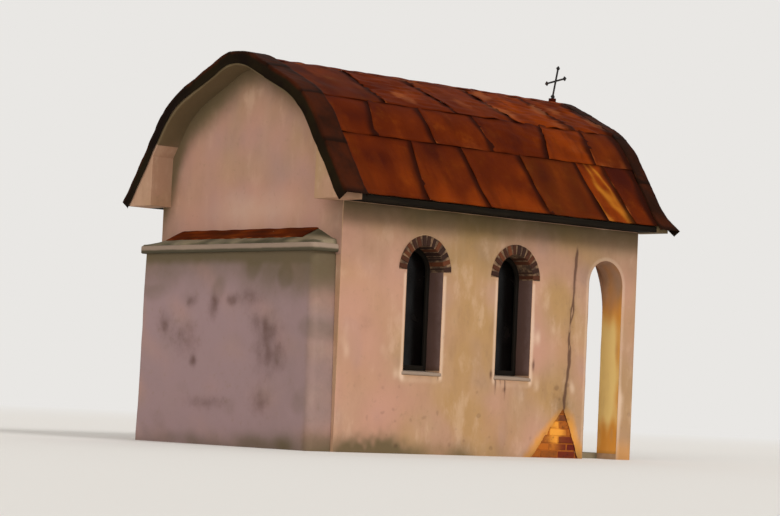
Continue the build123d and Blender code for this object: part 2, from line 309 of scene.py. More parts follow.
def make_piece(name, surfaces, finish, replaces=(), gauge=0.0, smooth=True):
    """Put surfaces into one mesh object that rides on the chapel; gauge gives open sheet its thickness."""
    points, faces, start = [], [], 0
    for surface in surfaces:
        points.append(surface.points)
        faces += (surface.quads + start).tolist() + (surface.tris + start).tolist()
        start += len(surface.points)
    mesh = bpy.data.meshes.new(name)
    mesh.from_pydata(np.concatenate(points).tolist(), [], faces)
    for field in sorted({field for surface in surfaces for field in surface.fields}):
        values = [surface.fields.get(field, np.zeros(len(surface.points))) for surface in surfaces]
        layer = mesh.attributes.new(field, "FLOAT", "POINT")
        layer.data.foreach_set("value", np.concatenate(values).astype(np.float32))
    mesh.polygons.foreach_set("use_smooth", np.full(len(faces), smooth))
    mesh.update()
    mesh.materials.append(material_of(finish))
    piece = bpy.data.objects.new(name, mesh)
    bpy.context.scene.collection.objects.link(piece)
    if gauge:
        skin = piece.modifiers.new("Gauge", "SOLIDIFY")
        skin.thickness = gauge
        skin.offset = -1.0
    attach(piece, "root")
    if replaces:
        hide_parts(*replaces)


def trimmed_grid(us, vs, room):
    """A grid over u and v cut to where room is positive.

    A point nearer to the border than about six tenths of a cell is moved onto it, along the slope
    of room. A cell is kept whole, or as one triangle where a single corner lies outside.
    Gives u, v, the distance to the border, the four-sided faces and the three-sided faces.
    """
    u, v = np.meshgrid(us, vs, indexing="ij")
    reach = 1e-4
    slope_u = (room(u + reach, v) - room(u - reach, v)) / (2 * reach)
    slope_v = (room(u, v + reach) - room(u, v - reach)) / (2 * reach)
    steep = np.maximum(np.hypot(slope_u, slope_v), 1e-6)
    away = room(u, v) / steep
    near = 0.62 * max(us[1] - us[0], vs[1] - vs[0])
    border = np.abs(away) < near
    u = np.where(border, u - away * slope_u / steep, u)
    v = np.where(border, v - away * slope_v / steep, v)
    outside = (away < 0) & ~border
    index = np.arange(u.size).reshape(u.shape)
    quads = np.stack([index[:-1, :-1], index[1:, :-1], index[1:, 1:], index[:-1, 1:]], axis=-1).reshape(-1, 4)
    out = outside.ravel()[quads]
    rim = border.ravel()[quads]
    whole = quads[(out.sum(axis=1) == 0) & (rim.sum(axis=1) < 4)]
    cut = quads[(out.sum(axis=1) == 1) & (rim.sum(axis=1) < 3)]
    lost = outside.ravel()[cut].argmax(axis=1)
    turn = (lost[:, None] + np.arange(1, 4)) % 4
    tris = np.take_along_axis(cut, turn, axis=1)
    used, inverse = np.unique(np.concatenate([whole.ravel(), tris.ravel()]), return_inverse=True)
    away = np.where(border, 0.0, away).ravel()[used]
    whole_new = inverse[:whole.size].reshape(-1, 4)
    tris_new = inverse[whole.size:].reshape(-1, 3)
    return u.ravel()[used], v.ravel()[used], away, whole_new, tris_new


class RoofLine:
    """The roof profile by its arc length from the ridge, negative on the photographed side.

    The direction turns evenly over the ridge and over the knee and is straight elsewhere, and the
    points are the running sums of its cosine and sine.
    """

    def __init__(self, sizes):
        shallow = math.atan2(sizes.peak_height - sizes.knee_height, sizes.knee_half)
        steep = math.atan2(sizes.knee_height - sizes.eave_height, EAVE_HALF - sizes.knee_half)
        ridge_side = sizes.ridge_radius * math.tan(shallow)
        knee_side = sizes.knee_radius * math.tan((steep - shallow) / 2)
        upper = math.hypot(sizes.knee_half, sizes.peak_height - sizes.knee_height) - ridge_side - knee_side
        lower = math.hypot(EAVE_HALF - sizes.knee_half, sizes.knee_height - sizes.eave_height) - knee_side
        past_eave = 0.2
        runs = [sizes.ridge_radius * shallow, upper, sizes.knee_radius * (steep - shallow), lower, past_eave]
        marks = np.concatenate([[0], np.cumsum(runs)])
        self.along = np.arange(0, marks[-1], LINE_STEP)
        self.turn = np.interp(self.along, marks[:4], [0, shallow, shallow, steep])
        self.half = np.cumsum(np.cos(self.turn)) * LINE_STEP
        self.height = RIDGE_TOP - np.cumsum(np.sin(self.turn)) * LINE_STEP
        self.eave = self.at_height(sizes.eave_height)

    def at_height(self, height):
        """The arc length where one side passes the given height."""
        return float(np.interp(-height, -self.height, self.along))

    def at_half(self, half):
        """The arc length where one side passes the given distance from the ridge."""
        return float(np.interp(half, self.half, self.along))

    def place(self, s, lift):
        """Y and Z of points at arc length s, lifted off the roof."""
        side = np.sign(s)
        turn = np.interp(np.abs(s), self.along, self.turn)
        y = side * (np.interp(np.abs(s), self.along, self.half) + lift * np.sin(turn))
        z = np.interp(np.abs(s), self.along, self.height) + lift * np.cos(turn)
        return y, z


def add(tree, kind, values=None, links=None, **settings):
    """Add one shader node with its settings, its input values and the links that feed it."""
    node = tree.nodes.new("ShaderNode" + kind)
    for key, value in settings.items():
        setattr(node, key, value)
    for key, value in (values or {}).items():
        node.inputs[key].default_value = value
    for key, source in (links or {}).items():
        tree.links.new(source, node.inputs[key])
    return node


def empty_tree(owner):
    """The shader tree of a new material or world, cleared."""
    owner.use_nodes = True
    owner.node_tree.nodes.clear()
    return owner.node_tree


def layered(name, patterns, paint, bumps, ranges, fixed):
    """A material laid in coats of colour.

    Patterns are cloudy noise on the object's own coordinates: size in millimetres, detail, roughness
    and stretch. Paint is a first colour and its coats. A coat's colour, which may be a paint too, is
    blended over what lies under it by a soft step of its mask from low to high, times its strength.
    The mask is a pattern or a value that the mesh carries, plus the breakup pattern less a half,
    times the raggedness. Bumps stack patterns as relief, with depths in millimetres. Ranges turn a
    pattern into a value of the shader, and fixed values stand on the shader itself.
    """
    material = bpy.data.materials.new(name)
    tree = empty_tree(material)
    colours = bpy.context.scene.chapel_colours
    place = add(tree, "TexCoord").outputs["Object"]
    masks = {}
    for key, (size_mm, detail, rough, *stretch) in patterns.items():
        scale = tuple(1 / value for value in stretch or (1.0, 1.0, 1.0))
        mapped = add(tree, "Mapping", {"Scale": scale}, {"Vector": place}).outputs["Vector"]
        values = {"Scale": CLOUD_MM / size_mm, "Detail": detail, "Roughness": rough}
        masks[key] = add(tree, "TexNoise", values, {"Vector": mapped}).outputs["Fac"]

    def laid(paint):
        """The colour of a paint. One colour is given by its name in the sidebar, or else as sRGB hex."""
        if isinstance(paint, str):
            return tuple(getattr(colours, paint)) if hasattr(colours, paint) else linear(paint)
        under = laid(paint[0])
        for colour, key, low, high, breakup, ragged, strength in paint[1:]:
            if key not in masks:
                masks[key] = add(tree, "Attribute", attribute_name=key).outputs["Fac"]
            rough = {1: ragged, 2: -ragged / 2}
            shift = add(tree, "Math", rough, {0: masks[breakup]}, operation="MULTIPLY_ADD").outputs[0]
            mask = add(tree, "Math", {}, {0: masks[key], 1: shift}, operation="ADD").outputs[0]
            limits = {"From Min": low, "From Max": high, "To Max": strength}
            part = add(tree, "MapRange", limits, {"Value": mask}, interpolation_type="SMOOTHSTEP")
            blend = add(tree, "Mix", {}, {0: part.outputs["Result"]}, data_type="RGBA")
            for entry, value in ((6, under), (7, laid(colour))):
                if isinstance(value, tuple):
                    blend.inputs[entry].default_value = value
                else:
                    tree.links.new(value, blend.inputs[entry])
            under = blend.outputs[2]
        return under

    links = {"Base Color": laid(paint)}
    for key, depth_mm in bumps.items():
        below = {"Normal": links["Normal"]} if "Normal" in links else {}
        depth = {"Distance": depth_mm / 1000, "Strength": 1.0}
        links["Normal"] = add(tree, "Bump", depth, {"Height": masks[key], **below}).outputs["Normal"]
    for key, (pattern, *limits) in ranges.items():
        limits = dict(zip(("To Min", "To Max", "From Min", "From Max"), limits))
        links[key] = add(tree, "MapRange", limits, {"Value": masks[pattern]}).outputs["Result"]
    surface = add(tree, "BsdfPrincipled", fixed, links)
    add(tree, "OutputMaterial", {}, {"Surface": surface.outputs[0]})
    return material


# In the recipes a pattern is (size in millimetres, detail, roughness and, if it is drawn out, its stretch
# along X, Y and Z), and a coat is (colour, mask, low, high, breakup, raggedness, strength).


def lime_plaster(name, shade_and_grime):
    """Lime plaster floated by hand and limewashed: matt, cloudy where the wash is thin, soiled at the foot.

    Grime darkens it all over, besides the dirt and painted shade that the surface carries; on the west rim
    it is painted shade under the roof's overhang as well as dirt.
    """
    patterns = {
        "cloud": (700, 3.0, 0.55),
        "patch": (210, 6.0, 0.6),
        "fine": (34, 6.0, 0.7),
        "brush": (95, 5.0, 0.62, 1.0, 1.0, 2.2),
        "streak": (120, 5.0, 0.55, 1.0, 1.0, 4.0),
    }
    # Gold: painted sunlight, brighter still where the glow mask is high
    gold = (
        "ochre",
        ("FFDC8A", "glow", 0.1, 1.0, "patch", 0.4, 1.0),
        ("A2521A", "streak", 0.52, 0.78, "patch", 0.4, 0.25),
    )
    paint = (
        "limewash",
        ("A38558", "cloud", 0.40, 0.64, "patch", 0.6, 0.5),
        ("AD8757", "beige", 0.0, 1.1, "patch", 0.6, 0.85),
        ("CDAA8C", "streak", 0.45, 0.8, "patch", 0.5, 0.28),
        ("8F6C50", "brush", 0.50, 0.72, "patch", 0.4, 0.32),
        ("DAB99D", "brush", 0.47, 0.26, "patch", 0.4, 0.32),
        ("blush", "blush", 0.0, 1.1, "patch", 0.6, 0.85),
        ("damp", "damp", 0.0, 1.2, "patch", 0.5, 0.95),
        ("E2C4AA", "pale", 0.2, 1.3, "patch", 0.5, 0.7),
        ("8C7458", "fine", 0.56, 0.78, "patch", 0.2, 0.35),
        (gold, "ochre", 0.3, 1.05, "patch", 0.4, 0.95),
        # Dirt at the foot, and painted shade where the surface carries it: under eaves, rims and ledge, in
        # reveals
        ("soil", "soil", 0.05 - shade_and_grime, 1.25 - shade_and_grime, "patch", 0.5, 0.9),
        # Dark marks and cracks, and painted shade deep inside the window reveals
        ("52362A", "mark", 0.05, 0.9, "fine", 0.4, 0.85),
    )
    ranges = {"Roughness": ("fine", 0.82, 0.97)}
    return layered(name, patterns, paint, {"patch": 5.0, "fine": 1.6}, ranges, {"Specular IOR Level": 0.25})


def rusted_sheet(name):
    """Hot-rolled sheet rusted through its paint: a tone for each sheet, streaks down the slope, laps darkened
    by dirt and painted shade, and painted highlights on crumpled sheets.
    """
    patterns = {
        "cloud": (380, 5.0, 0.6),
        "patch": (110, 6.0, 0.6),
        "scale": (20, 5.0, 0.7),
        "streak": (80, 5.0, 0.55, 1.0, 5.0, 5.0),
    }
    paint = (
        "3A1006",
        ("rust", "tone", 0.0, 0.5, "patch", 0.4, 1.0),
        ("7A3006", "tone", 0.45, 1.0, "patch", 0.6, 1.0),
        ("45300E", "olive", 0.1, 1.0, "patch", 0.6, 0.7),
        ("rust_bright", "cloud", 0.46, 0.74, "streak", 0.6, 0.55),
        ("300C03", "streak", 0.48, 0.76, "cloud", 0.5, 0.5),
        ("B87220", "gold", 0.05, 1.25, "patch", 1.1, 0.7),
        ("A6582C", "worn", 0.2, 1.0, "patch", 0.9, 0.7),
        # Dark rust at the laps: dirt, and painted shade beside each overlapping edge and under the row above
        ("rust_dark", "lap", 0.0, 1.0, "patch", 0.35, 0.9),
        # Painted highlights where crumpled sheets catch the light
        ("A8623A", "crest", 0.15, 1.2, "patch", 1.1, 0.45),
        ("96481A", "scale", 0.62, 0.8, "patch", 0.15, 0.25),
    )
    ranges = {"Roughness": ("patch", 0.72, 0.95)}
    return layered(name, patterns, paint, {"patch": 3.0, "scale": 0.8}, ranges, {"Specular IOR Level": 0.03})


def black_flashing(name):
    """Folded sheet under old bitumen paint: nearly black and dull, with rust on top and on the edges."""
    patterns = {"patch": (120, 6.0, 0.6), "scale": (16, 5.0, 0.7), "cloud": (420, 4.0, 0.55)}
    rusty = (
        "220F06",
        ("401A09", "cloud", 0.4, 0.68, "patch", 0.5, 0.9),
        ("160A04", "lap", 0.1, 1.0, "patch", 0.4, 0.85),
    )
    paint = (
        "flashing",
        ("241C0C", "cloud", 0.4, 0.65, "patch", 0.4, 0.7),
        (rusty, "top", 0.3, 0.8, "patch", 0.3, 1.0),
        ("40200F", "worn", 0.3, 1.0, "patch", 0.9, 0.6),
    )
    ranges = {"Roughness": ("patch", 0.75, 0.98)}
    return layered(name, patterns, paint, {"patch": 2.0, "scale": 0.6}, ranges, {"Specular IOR Level": 0.04})


def fired_brick(name):
    """Hand-moulded fired clay brick: every brick its own shade, a sandy face, soot in patches."""
    patterns = {"patch": (45, 5.0, 0.55), "sand": (7, 4.0, 0.7)}
    paint = (
        "2E190F",
        ("brick", "tone", 0.0, 0.5, "patch", 0.3, 1.0),
        ("6A381C", "tone", 0.5, 1.0, "patch", 0.4, 1.0),
        # Orange: the bricks' own and painted sunlight; glow: brighter painted sunlight
        ("BA6412", "ochre", 0.2, 0.9, "patch", 0.6, 0.9),
        ("F0A038", "glow", 0.2, 0.9, "patch", 0.6, 0.9),
        ("5E1206", "red", 0.2, 0.9, "patch", 0.5, 0.9),
        ("25150C", "patch", 0.58, 0.74, "sand", 0.3, 0.7),
    )
    fixed = {"Roughness": 0.92, "Specular IOR Level": 0.3}
    return layered(name, patterns, paint, {"patch": 2.5, "sand": 1.0}, {}, fixed)


def lime_mortar(name):
    """Lime mortar struck with the trowel: sandy, stained, crumbled back from the brick faces."""
    patterns = {"patch": (40, 5.0, 0.55), "sand": (6, 4.0, 0.7)}
    paint = (
        "86694E",
        ("49362A", "patch", 0.36, 0.62, "sand", 0.3, 1.0),
        # Orange and glow: painted sunlight on the mortar in the bare patch
        ("A45610", "ochre", 0.2, 0.9, "patch", 0.5, 0.85),
        ("E49A38", "glow", 0.2, 0.9, "patch", 0.5, 0.85),
    )
    fixed = {"Roughness": 0.96, "Specular IOR Level": 0.2}
    return layered(name, patterns, paint, {"patch": 3.0, "sand": 1.0}, {}, fixed)


def worn_cement(name):
    """Trowelled cement render, worn and grown with algae: grey-green, blotched, paler on its edges."""
    patterns = {"cloud": (380, 4.0, 0.55), "patch": (90, 6.0, 0.55), "sand": (9, 4.0, 0.7)}
    paint = (
        "cement",
        ("6C6450", "cloud", 0.42, 0.62, "patch", 0.3, 0.8),
        ("9C8C72", "patch", 0.5, 0.74, "sand", 0.3, 0.6),
        ("9A8474", "worn", 0.2, 1.0, "patch", 0.7, 0.8),
        # Dirt, and painted shade on the lower part of the ledge's face
        ("3E3A26", "soil", 0.2, 0.9, "patch", 0.5, 0.9),
    )
    fixed = {"Roughness": 0.93, "Specular IOR Level": 0.3}
    return layered(name, patterns, paint, {"patch": 3.0, "sand": 1.2}, {}, fixed)


def weathered_timber(name, colour, *stretch):
    """Sawn softwood under worn dark paint: long grain, open checks, greyed where the paint is gone."""
    patterns = {"grain": (14, 6.0, 0.6, *stretch), "patch": (160, 5.0, 0.55)}
    paint = (
        colour,
        ("211A10", "grain", 0.45, 0.68, "patch", 0.4, 0.6),
        ("0D0A08", "grain", 0.60, 0.72, "patch", 0.1, 0.7),
        ("4A4238", "tone", 0.2, 1.0, "patch", 0.7, 0.3),
    )
    return layered(name, patterns, paint, {"grain": 1.2}, {}, {"Roughness": 0.85, "Specular IOR Level": 0.08})


def wrought_iron(name):
    """Forged wrought iron left bare: near black with brown rust bloom, hammered rather than smooth."""
    patterns = {"patch": (30, 5.0, 0.55), "scale": (8, 4.0, 0.55)}
    paint = ("iron", ("47281A", "patch", 0.5, 0.7, "scale", 0.3, 0.7))
    fixed = {"Metallic": 0.35, "Roughness": 0.68}
    return layered(name, patterns, paint, {"patch": 1.0, "scale": 0.4}, {}, fixed)


def shade_darkened_glass(name):
    """Drawn window glass, never cleaned: clear in the middle, dull where the dust lies, and near black as
    painted shade for the dark room behind it.
    """
    # Near-black: painted shade of the dark room behind the glass
    paint = ("080606", ("15110E", "patch", 0.48, 0.75, "patch", 0.0, 0.8))
    ranges = {"Roughness": ("patch", 0.06, 0.4), "Transmission Weight": ("patch", 0.9, 0.35, 0.45, 0.75)}
    fixed = {"IOR": 1.3, "Specular IOR Level": 0.05}
    return layered(name, {"patch": (120, 5.0, 0.55)}, paint, {}, ranges, fixed)


# Each finish: its slot in the frame, the function that makes its material, its name and what else that needs
MAKERS = {
    "plaster": ("plaster", lime_plaster, "limewashed_lime_plaster", 0.0),
    # A darker copy of the plaster: painted shade under the west rim's overhang, and dirt
    "shaded_grimy_plaster": ("plaster", lime_plaster, "grimy_lime_plaster", 1.1),
    "sheet": ("roof_steel", rusted_sheet, "rusted_roofing_sheet"),
    "flashing": ("roof_steel", black_flashing, "bitumen_painted_flashing"),
    "brick": ("brick", fired_brick, "fired_clay_brick"),
    "mortar": ("brick", lime_mortar, "lime_mortar"),
    "cement": ("cement", worn_cement, "worn_cement_render"),
    "boards": ("joinery", weathered_timber, "painted_eave_board", "timber", 30.0, 1.0, 1.0),
    "joinery": ("joinery", weathered_timber, "painted_joinery", "1C1814", 1.0, 1.0, 30.0),
    "planks": ("joinery", weathered_timber, "weathered_door_plank", "4A3828", 1.0, 1.0, 30.0),
    "iron": ("iron", wrought_iron, "wrought_iron"),
    "glass": ("pane", shade_darkened_glass, "dusty_drawn_glass"),
}


def material_of(finish):
    """The material of a finish, made when it is first asked for."""
    _, maker, name, *details = MAKERS[finish]
    return bpy.data.materials.get(name) or maker(name, *details)


def slab_room(u, v, low_u, high_u, low_v, high_v):
    """Distance outside a rectangle, negative inside it."""
    return np.maximum(np.maximum(low_u - u, u - high_u), np.maximum(low_v - v, v - high_v))


def arch_room(u, v, middle, half, low, spring, radius):
    """Distance outside an opening with straight sides up to the spring and a round head."""
    head = np.maximum(np.hypot(u - middle, v - spring) - radius, spring - v)
    return np.minimum(slab_room(u, v, middle - half, middle + half, low, spring), head)


def window_centres(sizes):
    """X of the two windows."""
    return SILL_LOW.x + sizes.window_half, SILL_HIGH.x - sizes.window_half


def arch_middle(sizes):
    """X of the middle of the porch's side arch."""
    return PIER_EAST - sizes.arch_half


def side_arch_room(sizes, x, z):
    """Distance outside the porch's side arch, which is open down to the ground."""
    return arch_room(x, z, arch_middle(sizes), sizes.arch_half, -1.0, sizes.arch_spring, sizes.arch_half)


def bare_room(sizes, x, z):
    """Distance outside the triangle at the foot of the wall that lost its plaster, with a crumbled edge."""
    height = sizes.bare_height
    left, peak, right = EAST + BARE_START, EAST + BARE_PEAK, EAST + BARE_END
    rise_left = math.hypot(peak - left, height)
    rise_right = math.hypot(right - peak, height)
    off_left = ((left - x) * height + z * (peak - left)) / rise_left
    off_right = ((x - right) * height + z * (right - peak)) / rise_right
    crumble = 0.007 * swell(x, z, 0.09, 31) + 0.004 * swell(x, z, 0.035, 32) + 0.012
    return np.maximum(off_left, off_right) + crumble


def bare_painted_sunlight(run, z, weight):
    """The brightest place of the painted sunlight in that patch."""
    return spots(run, z, (3.10, 0.27, 0.10, 0.15, weight))


def crack_distance(x, z):
    """Distance from the crack that runs up the joint of the nave and the porch."""
    line = CRACK + 0.075 * smooth_step(z, 0.45, 2.2) + 0.010 * waver(z, 0.5, 41)
    line = line + 0.004 * waver(z, 0.11, 42)
    return np.abs(x - line)


def elevation_fields(sizes, x, z, seed, photographed):
    """Stains of a long wall by their place on it.

    Washes are soft unevenness; dirt fades up from the ground and painted shade fades down from the eaves;
    pale lime lies in soft stripes beside the openings. The photographed side has spots, drips and a crack of
    its own besides.
    """
    run = x - EAST
    wander = swell(x, z, 0.5, seed)
    blush = 0.30 + 0.25 * swell(x, z, 0.9, seed + 1)
    beige = 0.25 + 0.30 * swell(x, z, 0.7, seed + 7)
    damp = 0.30 * smooth_step(swell(x, z, 0.6, seed + 2), 0.3, 1.6)
    soil = (0.8 + 0.2 * wander) * fade(z, -0.04, 0.26)
    # Painted shade: the wall darkens from halfway up towards the eaves
    soil = soil + 0.45 * smooth_step(z + 0.06 * wander, 1.5, 2.1) + 0.6 * smooth_step(z, 2.1, WALL_TOP)
    pale = 0.7 * fade(np.abs(side_arch_room(sizes, x, z)), 0.02, 0.07)
    for middle in window_centres(sizes):
        off = np.abs(x - middle)
        beside = band(off, sizes.window_half + 0.02, 0.03) * smooth_step(z, SILL_LOW.z - 0.1, SILL_LOW.z)
        pale = pale + beside * fade(z, RING_LOW.z - 0.05, RING_LOW.z)
        pale = pale + 0.5 * band(z, SILL_LOW.z - 0.05, 0.05) * fade(off, 0.2, 0.3)
    ochre = mark = np.zeros_like(x)
    if photographed:
        slant = 0.86 - 0.38 * np.clip(0.9 - z, 0, 0.9)
        blush = blush + 0.4 * fade(run, slant - 0.25, slant + 0.2)
        blush = blush + 0.35 * band(run, 2.72, 0.15) - 0.5 * band(run, 1.8, 0.4)
        beige = beige + 0.8 * band(run, 1.77, 0.33) + 0.6 * band(run, 3.12, 0.2)
        worn = spots(
            run, z,
            (0.10, 1.05, 0.12, 0.24, 1.0), (0.62, 1.00, 0.12, 0.12, 0.8), (0.80, 0.75, 0.08, 0.12, 1.0),
            (2.76, 1.25, 0.08, 0.14, 1.1), (2.75, 0.78, 0.09, 0.12, 1.1), (3.32, 0.76, 0.07, 0.10, 1.3),
            (4.08, 0.55, 0.08, 0.20, 1.0), (3.02, 1.33, 0.07, 0.10, 0.7),
        )
        pale = pale + 0.75 * worn * (0.75 + 0.3 * swell(x, 0.6 * z, 0.16, seed + 9))
        moss = spots(run, z, (0.52, 0.0, 0.40, 0.25, 0.85))
        soil = soil + moss * (1 + 0.2 * swell(x, z, 0.12, seed + 6))
        soil = soil * (1 - 0.45 * smooth_step(run, 1.75, 2.1) * fade(z, 0.2, 0.4))
        near = fade(bare_room(sizes, x, z), 0.0, 0.23 + 0.05 * wander)
        soil = soil + 0.35 * near * smooth_step(z, 0.25, 0.5) + 0.25 * near
        # Painted sunlight in orange round the lost plaster and at the foot beside the porch's side arch
        ochre = 0.95 * near * fade(z, 0.35, 0.75) + 0.7 * smooth_step(run, 3.98, 4.06) * fade(z, 0.0, 0.5)
        off = crack_distance(x, z)
        wide = 0.016 + 0.006 * fade(z, 1.7, 1.9) * waver(z, 0.25, 47)
        crack = 1.7 * band(off, 0.0, wide) * (0.8 + 0.3 * waver(z, 0.5, 44)) + 0.22 * band(off, 0.0, 0.1)
        mark = crack * smooth_step(z, 0.45, 0.6) * fade(z, 2.1, 2.3)
        mark = mark + spots(
            run, z,
            (2.72, 0.96, 0.020, 0.07, 0.8), (2.17, 0.78, 0.014, 0.13, 0.8), (2.24, 0.80, 0.010, 0.09, 0.8),
            (2.31, 0.76, 0.012, 0.17, 0.8), (2.10, 0.84, 0.020, 0.05, 0.8), (1.36, 0.80, 0.010, 0.06, 0.8),
            (0.36, 1.28, 0.13, 0.14, 0.26), (1.96, 0.74, 0.12, 0.10, 0.22), (3.06, 0.60, 0.12, 0.20, 0.30),
        )
        mark = mark + 0.35 * smooth_step(swell(x, z, 0.16, 45), 1.0, 1.9) * fade(z, 0.5, 1.1)
    stains = {"blush": blush, "beige": beige, "damp": damp, "ochre": ochre, "soil": soil}
    return {**stains, "mark": mark, "pale": pale}


def coat_depth(sizes, edge, wave):
    """How far plaster stands out: its mean coat and a wave of it, sunk just below the wall at its edges."""
    body = smooth_step(edge, *ROUNDING)
    return body * np.maximum(sizes.plaster_coat + sizes.plaster_wave * wave, THINNEST) - (1 - body) * SUNK


def long_wall_plaster(sizes, side, seed):
    """The uneven plaster of one long elevation.

    A flat grid trimmed to the windows, the porch arch and the lost plaster; its depth is the mean
    coat plus a soft unevenness, falling to the wall face at every edge, and a groove at the crack.
    """
    photographed = side < 0
    ring = sizes.window_half + sizes.brick_ring - 0.003

    def room(x, z):
        away = side_arch_room(sizes, x, z)
        for middle in window_centres(sizes):
            away = np.minimum(away, arch_room(x, z, middle, sizes.window_half, SILL_LOW.z, RING_LOW.z, ring))
        return np.minimum(away, bare_room(sizes, x, z)) if photographed else away

    xs = np.linspace(EAST, WEST, round((WEST - EAST) / sizes.plaster_mesh))
    zs = np.linspace(0, WALL_TOP, round(WALL_TOP / sizes.plaster_mesh))
    x, z, away, quads, tris = trimmed_grid(xs, zs, room)
    edge = np.minimum(away, np.minimum(np.minimum(x - EAST, WEST - x), WALL_TOP - z))
    out = coat_depth(sizes, edge, 0.75 * swell(x, z, 0.75, seed) + 0.3 * swell(x, z, 0.22, seed + 1))
    if photographed:
        groove = band(crack_distance(x, z), 0.0, 0.012) * smooth_step(z, 0.45, 0.6)
        out = out - 0.003 * groove * fade(z, 2.0, 2.2)
    points = np.stack([x, side * (HALF_WIDTH + out), np.maximum(z, 0)], axis=-1)
    return Surface(points, quads, tris, fields=elevation_fields(sizes, x, z, seed + 5, photographed))


def end_plaster(sizes, line, low, seed, opening):
    """The plaster of an end wall: a flat grid trimmed to the roof line and to an opening, softly uneven.

    Gives y, z, the distance to the border, how far the plaster stands out, and its faces.
    """

    def room(y, z):
        return np.minimum(np.interp(np.abs(y), line.half, line.height) - UNDER_ROOF - z, opening(y, z))

    step = sizes.plaster_mesh * 1.15
    ys = np.linspace(-HALF_WIDTH, HALF_WIDTH, round(2 * HALF_WIDTH / step))
    zs = np.linspace(low, RIDGE_TOP, round((RIDGE_TOP - low) / step))
    y, z, away, quads, tris = trimmed_grid(ys, zs, room)
    out = coat_depth(sizes, np.minimum(away, HALF_WIDTH - np.abs(y)), swell(y, z, 0.7, seed))
    return y, z, away, out, quads, tris


def gable_plaster(sizes, line):
    """The plaster of the east gable over the apse, with painted shade under the rim, pink and pale over the
    apse.
    """
    y, z, away, out, quads, tris = end_plaster(sizes, line, APSE_HIGH.z - 0.02, 71, lambda y, z: np.inf)
    low_band = spots(y, z, (-0.1, 2.38, 1.1, 0.28, 1.0))
    south = smooth_step(y, 0.0, 0.8)
    # Painted shade under the rim, wider on the south side, at both sides under the eaves and towards the apex
    soil = (0.85 + 0.3 * south) * fade(away, 0.0, 0.38 + 0.14 * south)
    soil = soil + 0.55 * smooth_step(np.abs(y), 1.0, 1.45) + 0.3 * smooth_step(z, 2.9, 3.6)
    fields = {
        "blush": 0.55 + 0.6 * low_band + 0.2 * swell(y, z, 0.6, 72),
        "damp": 0.30 + 0.10 * swell(y, z, 0.7, 73),
        "soil": soil,
        "pale": 0.7 * low_band,
    }
    return Surface(np.stack([EAST - out, y, z], axis=-1), quads, tris, fields=fields)


def front_plaster(sizes, line):
    """The plaster of the west front, trimmed to its wide arch, with a pale band round the arch."""

    def opening(y, z):
        return arch_room(y, z, 0.0, INNER_HALF, -1.0, sizes.front_spring, INNER_HALF)

    y, z, _, out, quads, tris = end_plaster(sizes, line, 0.0, 101, opening)
    wander = swell(y, z, 0.5, 102)
    fields = {
        "blush": 0.35 + 0.25 * swell(y, z, 0.8, 103),
        "beige": 0.3 + 0.3 * wander,
        "soil": (0.9 + 0.3 * wander) * fade(z, 0.02, 0.24) + 0.8 * smooth_step(z, 3.0, 3.85),
        "pale": 0.8 * fade(np.abs(opening(y, z)), 0.02, 0.07),
        "mark": 0.22 * smooth_step(swell(y, z, 0.2, 104), 0.8, 1.9),
    }
    return Surface(np.stack([WEST + out, y, np.maximum(z, 0)], axis=-1), quads, tris, fields=fields)


def apse_path(count, depth, half):
    """X and Y, and the outward direction, along the apse in plan: side, round corner, front, corner, side."""
    corner = APSE_CORNER
    quarter = corner * np.pi / 2
    runs = np.array([depth - corner, quarter, 2 * (half - corner), quarter, depth - corner])
    marks = np.concatenate([[0], np.cumsum(runs)])
    corners = [np.linspace(marks[1], marks[2], 9), np.linspace(marks[3], marks[4], 9)]
    s = np.unique(np.concatenate([np.linspace(0, marks[-1], count), *corners]))
    turn = np.interp(s, marks, np.array([0, 0, 1, 1, 2, 2]) * np.pi / 2)
    first, second = np.clip(s - marks[1], 0, runs[1]) / corner, np.clip(s - marks[3], 0, runs[3]) / corner
    x = EAST - np.clip(s, 0, runs[0]) - corner * np.sin(first)
    x = x + corner * (1 - np.cos(second)) + np.clip(s - marks[4], 0, runs[4])
    y = -half + corner * (1 - np.cos(first)) + np.clip(s - marks[2], 0, runs[2]) + corner * np.sin(second)
    return x, y, -np.sin(turn), -np.cos(turn)


